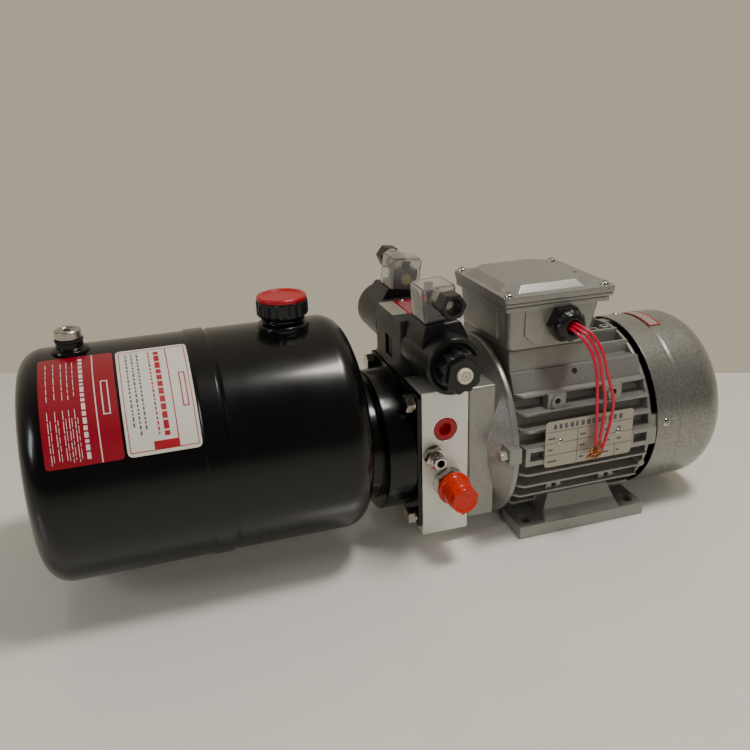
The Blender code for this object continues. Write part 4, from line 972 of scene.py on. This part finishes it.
def make_housing():
    shape = tube("motor_housing_casting", 66.0, 60.5, HOUSING_START, HOUSING_END, SHAFT, "+X",
                 steps=128)
    parts = [tube("end_ring", 76.0, 60.8, 198.2, 201.2, SHAFT, "+X", steps=128, soft=0.8)]
    for side in (-1, 1):
        parts += [fin(side, (number - (FINS_A_SIDE - 1) / 2) * FIN_PITCH)
                  for number in range(FINS_A_SIDE)]
        parts.append(prism("shelf", [(side * y, z) for y, z in SHELF], FIN_START, FIN_END, "X", 0.8))
    parts += top_details()
    for side in (-1, 1):
        parts += side_details(side)
    settle(weld(shape, *parts), "cast", replaces="motor_housing")
    # Painted shade: a near-black disc in each shelf hole stands in for the shade inside it.
    for side, label in SIDES.items():
        hole = drum(f"shelf_hole_{label}", 2.5, -3.0, 0.12, steps=40, soft=0)
        out = Vector((0.0, side * math.cos(0.44), math.sin(0.44)))
        hole.rotation_euler = out.to_track_quat("Z", "Y").to_euler()
        hole.location = world(137.4, side * 52.95, 137.5)
        settle(hole, "shaded_hollow")


def make_front_shield():
    outline = rectangle(-FLANGE_HALF, SHAFT_Z - FLANGE_HALF, FLANGE_HALF, SHAFT_Z + FLANGE_HALF, 2.0)
    flange = prism("motor_shield_casting", outline, 40.3, 63.4, "X", 1.6, 3)
    carve(flange, drum("flange_inside", 26.0, 30, 80, SHAFT, "+X"))
    dish = lathe("shield_dish", [
        (26.0, 50.0), (54.0, 50.0), (58.0, 56.0), (64.0, 60.0), (76.0, 69.5), (80.0, 71.5),
        (80.0, 75.7), (59.0, 75.7), (58.0, 74.0), (40.0, 69.9), (26.0, 69.9)], SHAFT, "+X",
        steps=144, soft=1.4, closed=True)
    lugs = []
    for side in (-1, 1):
        lugs.append(side_box("lug", side, (64.6, 75.6), (60.0, 84.0), (77.5, 91.0), 1.0))
        carve(dish, lathe("dish_recess", [(0, -30), (30.0, -30), (15.0, 0), (8.5, 11.5), (0, 11.5)],
                          (54.0, side * 76.0, 84.0), "+X", steps=48, soft=0))
    settle(weld(dish, flange, *lugs), "cast", replaces="motor_front_shield")
    for side, label in SIDES.items():
        at = (65.0, side * 77.2, 84.0)
        bolt = hex_solid(f"shield_bolt_{label}", 4.7, 0, 6.6, at, "-X", turn=10)
        settle(weld(bolt, drum("washer", 5.4, -1.0, 0.4, at, "-X", steps=32)), "bright")


PLATE_X, PLATE_END, PLATE_LOW, PLATE_TOP, PLATE_Y = 96.0, 176.8, 69.3, 109.9, -83.45


def make_rating_plate():
    """A plate with ruled lines, and bars in place of its print."""
    plate = prism("rating_plate_foil", rectangle(PLATE_X, PLATE_LOW, PLATE_END, PLATE_TOP, 3.0),
                  PLATE_Y, PLATE_Y + 0.7, "Y", edge=0.15)
    settle(plate, "foil", replaces="rating_plate")
    marks = []

    def mark(x0, x1, z0, z1):
        marks.append(box(f"rating_mark_{len(marks)}", (x0, PLATE_Y - 0.1, z0),
                         (x1, PLATE_Y + 0.01, z1), 0))

    for z in (100.4, 90.2, 80.0):
        mark(PLATE_X + 0.6, PLATE_END - 0.6, z, z + 0.45)
    for x, low, high in ((125.0, 69.6, 100.4), (147.6, 69.6, 100.4), (160.5, 69.6, 80.0)):
        mark(x, x + 0.45, low, high)
    rng = random.Random(9)
    for x in range(103, 165, 5):
        mark(x, x + rng.uniform(2.2, 3.4), 102.7, 107.0)
    for z in (94.0, 84.0, 73.6):
        for start, end in ((98.5, 108.0), (127.5, 134.0), (150.0, 156.0), (162.5, 168.0)):
            mark(start, start + rng.uniform(0.4, 1.0) * (end - start), z, z + 1.5)
    settle(weld(*marks), "ink_grey")
    for number, x in enumerate((109.4, 163.1), 1):
        screw = screw_head(f"rating_plate_screw_{number}", (x, -83.5, 91.2), "-Y", 2.5, 1.7)
        settle(screw, "bright")


# ---------------------------------------------------------------- fan cover
COVER_R, COVER_START, COVER_END = 77.8, 206.4, 280.7
COVER_SHOULDER, COVER_WALL, GROOVE = 24.0, 1.2, 0.9
AIR_SLOTS, SLOT_HALF_W, SLOT_HALF_L, SLOT_R = 12, 2.6, 15.6, 33.0
COVER_LABEL_X, COVER_LABEL_ANGLES, FRAME_W, FRAME_DEGREES = (230.4, 242.0), (74.0, 105.0), 1.5, 1.1


def make_fan_cover():
    centre = (COVER_R - COVER_SHOULDER, COVER_END - COVER_SHOULDER)
    side = [(COVER_R, COVER_START), (COVER_R, 228.2), (COVER_R - GROOVE, 229.4),
            (COVER_R - GROOVE, 230.4), (COVER_R - 0.2, 231.6)]
    shell = lathe("fan_cover_pressing", [
        (0, COVER_END), *reversed(arc(centre, COVER_SHOULDER, 0, 90, 18)), *reversed(side),
        (COVER_R - COVER_WALL, COVER_START),
        *arc(centre, COVER_SHOULDER - COVER_WALL, 0, 90, 14), (0, COVER_END - COVER_WALL)],
        SHAFT, "+X", steps=160)
    slots = []
    for k in range(AIR_SLOTS):
        angle = 2 * math.pi * (k + 0.15) / AIR_SLOTS
        c, s = math.cos(angle), math.sin(angle)
        outline = [(u * c - (v + SLOT_R) * s, SHAFT_Z + u * s + (v + SLOT_R) * c)
                   for u, v in rectangle(-SLOT_HALF_W, -SLOT_HALF_L, SLOT_HALF_W, SLOT_HALF_L,
                                         SLOT_HALF_W - 0.05, 4)]
        slots.append(prism("air_slot", outline, COVER_END - 6, COVER_END + 6, "X", 0))
    settle(carve(shell, *slots), "hammered", replaces="fan_cover")
    for number, (x, degrees) in enumerate(((215.1, 5.6), (223.4, 106.0), (215.1, 185.6)), 1):
        a = math.radians(degrees)
        out = Vector((0, -math.cos(a), math.sin(a)))
        screw = screw_head(f"fan_cover_screw_{number}", (x, 0, SHAFT_Z), "+Z", 3.6, 2.0)
        seat = Matrix.Translation(world(x, 0, SHAFT_Z) + out * (COVER_R - 0.6) * MM)
        screw.matrix_world = seat @ out.to_track_quat("Z", "Y").to_matrix().to_4x4()
        settle(screw, "bright")
    for number, degrees in enumerate((7, 97, 187, 277), 1):
        tab = box(f"cover_tab_{number}", (198.0, -6.0, 68.5), (214.0, 6.0, 75.8), 0.8)
        tab.data.transform(Matrix.Rotation(math.radians(90 - degrees), 4, "X"))
        tab.location = world(*SHAFT)
        settle(tab, "cast")
    # Painted shade: the rear shield is a cast part, coloured near-black so the gap between the
    # housing and the fan cover reads as shade.
    rear = lathe("motor_rear_shield_casting", [
        (11.5, 203.4), (23.6, 203.4), (66.0, 203.4), (66.0, 209.0), (50.0, 216.0), (24.0, 218.0),
        (11.5, 218.0)], SHAFT, "+X", steps=96, closed=True)
    settle(rear, "shaded_hollow", replaces="motor_rear_shield")


def make_cover_label():
    """A small blank label with a red frame, on top of the fan cover."""
    (x0, x1), (low, high) = COVER_LABEL_X, COVER_LABEL_ANGLES

    def patches(name, areas, lift, look):
        bm = bmesh.new()
        for start, end, lower, upper in areas:
            curved_patch(bm, start, end, spaced(lower, upper, 8), COVER_R + lift, 0.2, SHAFT_Z)
        settle(solid(name, bm), look)

    patches("cover_label_frame", [
        (x0, x1, low, low + FRAME_DEGREES), (x0, x1, high - FRAME_DEGREES, high),
        (x0, x0 + FRAME_W, low, high), (x1 - FRAME_W, x1, low, high)], 0.32, "ink_red")
    patches("cover_label_film", [(x0, x1, low, high)], 0.22, "foil")


# ---------------------------------------------------------------- feet
FOOT_LOW, FOOT_HIGH, FOOT_INNER, FOOT_OUTER, FOOT_T = 80.9, 201.7, 40.0, 75.5, 11.6
FOOT_MIDDLE = (FOOT_LOW + FOOT_HIGH) / 2
SLOT_X, SLOT_Y, FOOT_SLOT = 50, 62.5, (4.5, 7.3)


def make_foot(side):
    name = f"foot_{SIDES[side]}"
    base = side_box(f"{name}_casting", side, (FOOT_LOW, FOOT_HIGH), (FOOT_INNER, FOOT_OUTER),
                    (0.0, FOOT_T), 1.2)
    half_w, half_l = FOOT_SLOT
    for x in (FOOT_MIDDLE - SLOT_X, FOOT_MIDDLE + SLOT_X):
        y = side * SLOT_Y
        outline = rectangle(x - half_w, y - half_l, x + half_w, y + half_l, half_w - 0.05, 6)
        carve(base, prism("foot_slot", outline, -3, 20, "Z", 0))

    def section(half, outer, z):
        y0, y1 = span(side, outer, 53.0)
        return level(rectangle(FOOT_MIDDLE - half, y0, FOOT_MIDDLE + half, y1), z)

    raised = loft("foot_block", [
        section(36.0, 74.2, FOOT_T - 0.5), section(36.0, 73.8, FOOT_T + 0.5),
        section(34.4, 67.2, 18.6), section(28.8, 63.2, 32.2)], 0.5)
    settle(weld(base, raised), "cast", replaces=name)


# ---------------------------------------------------------------- terminal box
LID_X0, LID_X1, LID_Y0, LID_Y1 = 72.6, 173.0, -51.5, 50.5
LID_Z, LID_TOP, PANEL_TOP = 201.0, 206.3, 212.0
BASE_Z, BASE_TOP, BODY_LOW = 193.6, 197.6, 160.0
GLAND_AT = (126.4, 0, 180.5)


def lid_outline(left, right, y, corner):
    """The lid's outline, in by a distance at the left, the right and both other sides."""
    return rectangle(LID_X0 + left, LID_Y0 + y, LID_X1 - right, LID_Y1 - y, corner)


def make_terminal_lid():
    lid = prism("terminal_lid_casting", lid_outline(0, 0, 0, 4.0), LID_Z, LID_TOP, edge=0.8)
    bottom = rectangle(77.0, -44.5, 158.0, 43.5, 11.0, steps=1)
    top = rectangle(83.6, -38.5, 151.4, 37.5, 9.5, steps=1)
    panel = loft("lid_panel", [level(bottom, LID_TOP - 0.6), level(bottom, LID_TOP + 0.2),
                               level(top, PANEL_TOP)], 0.5)
    carve(lid, drum("lid_hole", 1.9, 195, 215, (163.9, -0.7, 0), steps=32))
    settle(weld(lid, panel), "cast", replaces="terminal_lid")
    for number, (x, y) in enumerate(((78.4, -46.0), (78.4, 45.0), (166.1, -44.0), (166.1, 43.0)), 1):
        settle(screw_head(f"lid_screw_{number}", (x, y, LID_TOP), "+Z", 4.0, 2.8), "bright")


def make_terminal_base():
    flange = prism("terminal_base_casting", lid_outline(1, 4, 1, 4.0), BASE_Z, BASE_TOP, edge=0.7)

    body = loft("terminal_body", [
        level(rectangle(79.6, -46.4, 153.4, 46.4, 6.0), BODY_LOW),
        level(rectangle(79.0, -47.0, 154.0, 47.0, 6.0), BODY_LOW + 3),
        level(rectangle(77.4, -48.0, 161.4, 48.0, 6.0), BASE_Z + 0.9)], 0.5)
    step = loft("front_step", [
        [(x, -46.0, z) for x, z in ((92.4, 171.9), (100.6, 163.4), (148.0, 163.4), (154.5, 194.0),
                                    (92.4, 194.0))],
        [(x, -49.0, z) for x, z in ((92.6, 172.0), (100.8, 163.8), (147.8, 163.8), (154.3, 194.0),
                                    (92.6, 194.0))]], 0.5)
    step_left = box("left_step", (76.4, -30.0, 166.0), (80.0, 30.0, 194.0), 0.6)
    carve(body, box("terminal_hollow", (84.5, -43.5, 163.5), (150.5, 43.5, 200), 0))
    settle(weld(flange, body, step, step_left), "cast", replaces="terminal_base")
    gasket = prism("lid_gasket_strip", lid_outline(0.8, 0.8, 0.8, 3.6), 197.9, 200.7, edge=0.5)
    carve(gasket, box("gasket_hole", (82, -44.5, 190), (156, 44.5, 210), 0))
    settle(gasket, "cast", replaces="lid_gasket")


def make_gland():
    locknut = hex_solid("cable_gland_hex", 15.5, 49.1, 58.6, GLAND_AT, "-Y", turn=4)
    dome = lathe("gland_dome", [
        (6.0, 66.2), (7.6, 66.2), (9.6, 65.6), (12.2, 63.6), (13.6, 61.4), (13.6, 57.0), (6.0, 57.0)],
        GLAND_AT, "-Y", steps=144, soft=0.8, closed=True, wave=(12, 0.8, 56.0, 64.6, 11.0))
    carve(locknut, drum("gland_bore", 6.0, 40, 80, GLAND_AT, "-Y"))
    stub = tube("gland_stub", 10.0, 6.0, 44.5, 50.0, GLAND_AT, "-Y", steps=48)
    settle(weld(locknut, dome, stub), "moulded", replaces="cable_gland")


# ---------------------------------------------------------------- what stays as the CAD made it
KEPT = {
    "rubber": ("filler_seal", "level_seal"),
    "steel": ("core_tube_front", "core_tube_rear", "valve_spool", "pump_drive_gear",
              "pump_idler_gear", "suction_strainer", "shaft_coupling", "rotor", "front_bearing",
              "rear_bearing"),
    "cast": ("pump_body", "pump_cover"),
    "winding": ("stator",),
    "moulded": ("cooling_fan", "terminal_block"),
}


def finish_frame_nodes():
    """The seals, gears, bearings, winding and fan keep their CAD meshes and get real materials."""
    for look, names in KEPT.items():
        for name in names:
            for slot in frame["nodes"][name].material_slots:
                slot.material = LOOKS[look][1]


# ---------------------------------------------------------------- floor and light
FLOOR_EDGE = Vector((0.073653, 0.337444, 0.0))       # a point on the floor's far edge
FLOOR_HEADING = math.radians(22.335)                 # which way the edge faces, from +Y to +X
FLOOR_HALF, FLOOR_DEEP = 3.0, 4.0
ROOM_COLOUR, ROOM_BEHIND = (0.455, 0.405, 0.315, 1.0), 0.16
WARM, COOL = (1.0, 0.97, 0.92), (0.92, 0.96, 1.0)


def make_stage():
    back = -Vector((math.sin(FLOOR_HEADING), math.cos(FLOOR_HEADING), 0.0)) * FLOOR_DEEP
    aside = Vector((math.cos(FLOOR_HEADING), -math.sin(FLOOR_HEADING), 0.0)) * FLOOR_HALF
    bm = bmesh.new()
    bm.faces.new([bm.verts.new(FLOOR_EDGE + step)
                  for step in (-aside, aside, aside + back, back - aside)])
    mesh = bpy.data.meshes.new("floor")
    bm.to_mesh(mesh)
    bm.free()
    floor = bpy.data.objects.new("floor", mesh)
    bpy.context.scene.collection.objects.link(floor)
    floor.data.materials.append(varied("pale_floor", (0.80, 0.78, 0.72), 0.12, tone=0.03, patch=3,
                                       spread=0.03, grain=40, relief=0.01))


def area_light(name, at, target, size, power, colour=WARM):
    data = bpy.data.lights.new(name, "AREA")
    data.shape = "RECTANGLE"
    data.size, data.size_y = size
    data.energy = power
    data.color = colour
    light = bpy.data.objects.new(name, data)
    bpy.context.scene.collection.objects.link(light)
    light.location = at
    light.rotation_euler = (Vector(target) - Vector(at)).to_track_quat("-Z", "Y").to_euler()
    return light


def make_light():
    """A pale room on the far side that gets dark on the near side, with soft lamps."""
    room = bpy.data.worlds.new("room")
    room.use_nodes = True
    tree = room.node_tree
    shader = tree.nodes["Background"]
    shader.inputs["Color"].default_value = ROOM_COLOUR
    place = tree.nodes.new("ShaderNodeTexCoord")
    ahead = tree.nodes.new("ShaderNodeVectorMath")
    ahead.operation = "DOT_PRODUCT"
    ahead.inputs[1].default_value = (math.sin(YAW), math.cos(YAW), 0.0)
    fade = tree.nodes.new("ShaderNodeMapRange")
    fade.interpolation_type = "SMOOTHSTEP"
    for socket, value in (("From Min", -0.5), ("From Max", 0.5), ("To Min", ROOM_BEHIND),
                          ("To Max", 1.0)):
        fade.inputs[socket].default_value = value
    tree.links.new(place.outputs["Generated"], ahead.inputs[0])
    tree.links.new(ahead.outputs["Value"], fade.inputs[0])
    tree.links.new(fade.outputs[0], shader.inputs["Strength"])
    bpy.context.scene.world = room
    area_light("overhead", (0.42, -0.30, 1.6), (0.1, 0.0, 0.1), (0.42, 0.28), 17)
    area_light("window", (-1.7, -0.5, 0.9), (-0.1, 0.0, 0.1), (0.35, 0.6), 7, COOL)
    fill = area_light("front_fill", (0.0, -2.2, 1.1), (0.05, 0.0, 0.1), (1.8, 1.0), 14)
    fill.visible_glossy = False


make_tank()
make_cap_and_plug()
make_labels()
make_neck()
make_bolts()
make_block()
make_ports()
make_valve()
make_front_shield()
make_housing()
make_rating_plate()
make_fan_cover()
make_cover_label()
make_foot(-1)
make_foot(1)
make_terminal_lid()
make_terminal_base()
make_gland()
finish_frame_nodes()
make_stage()
make_light()
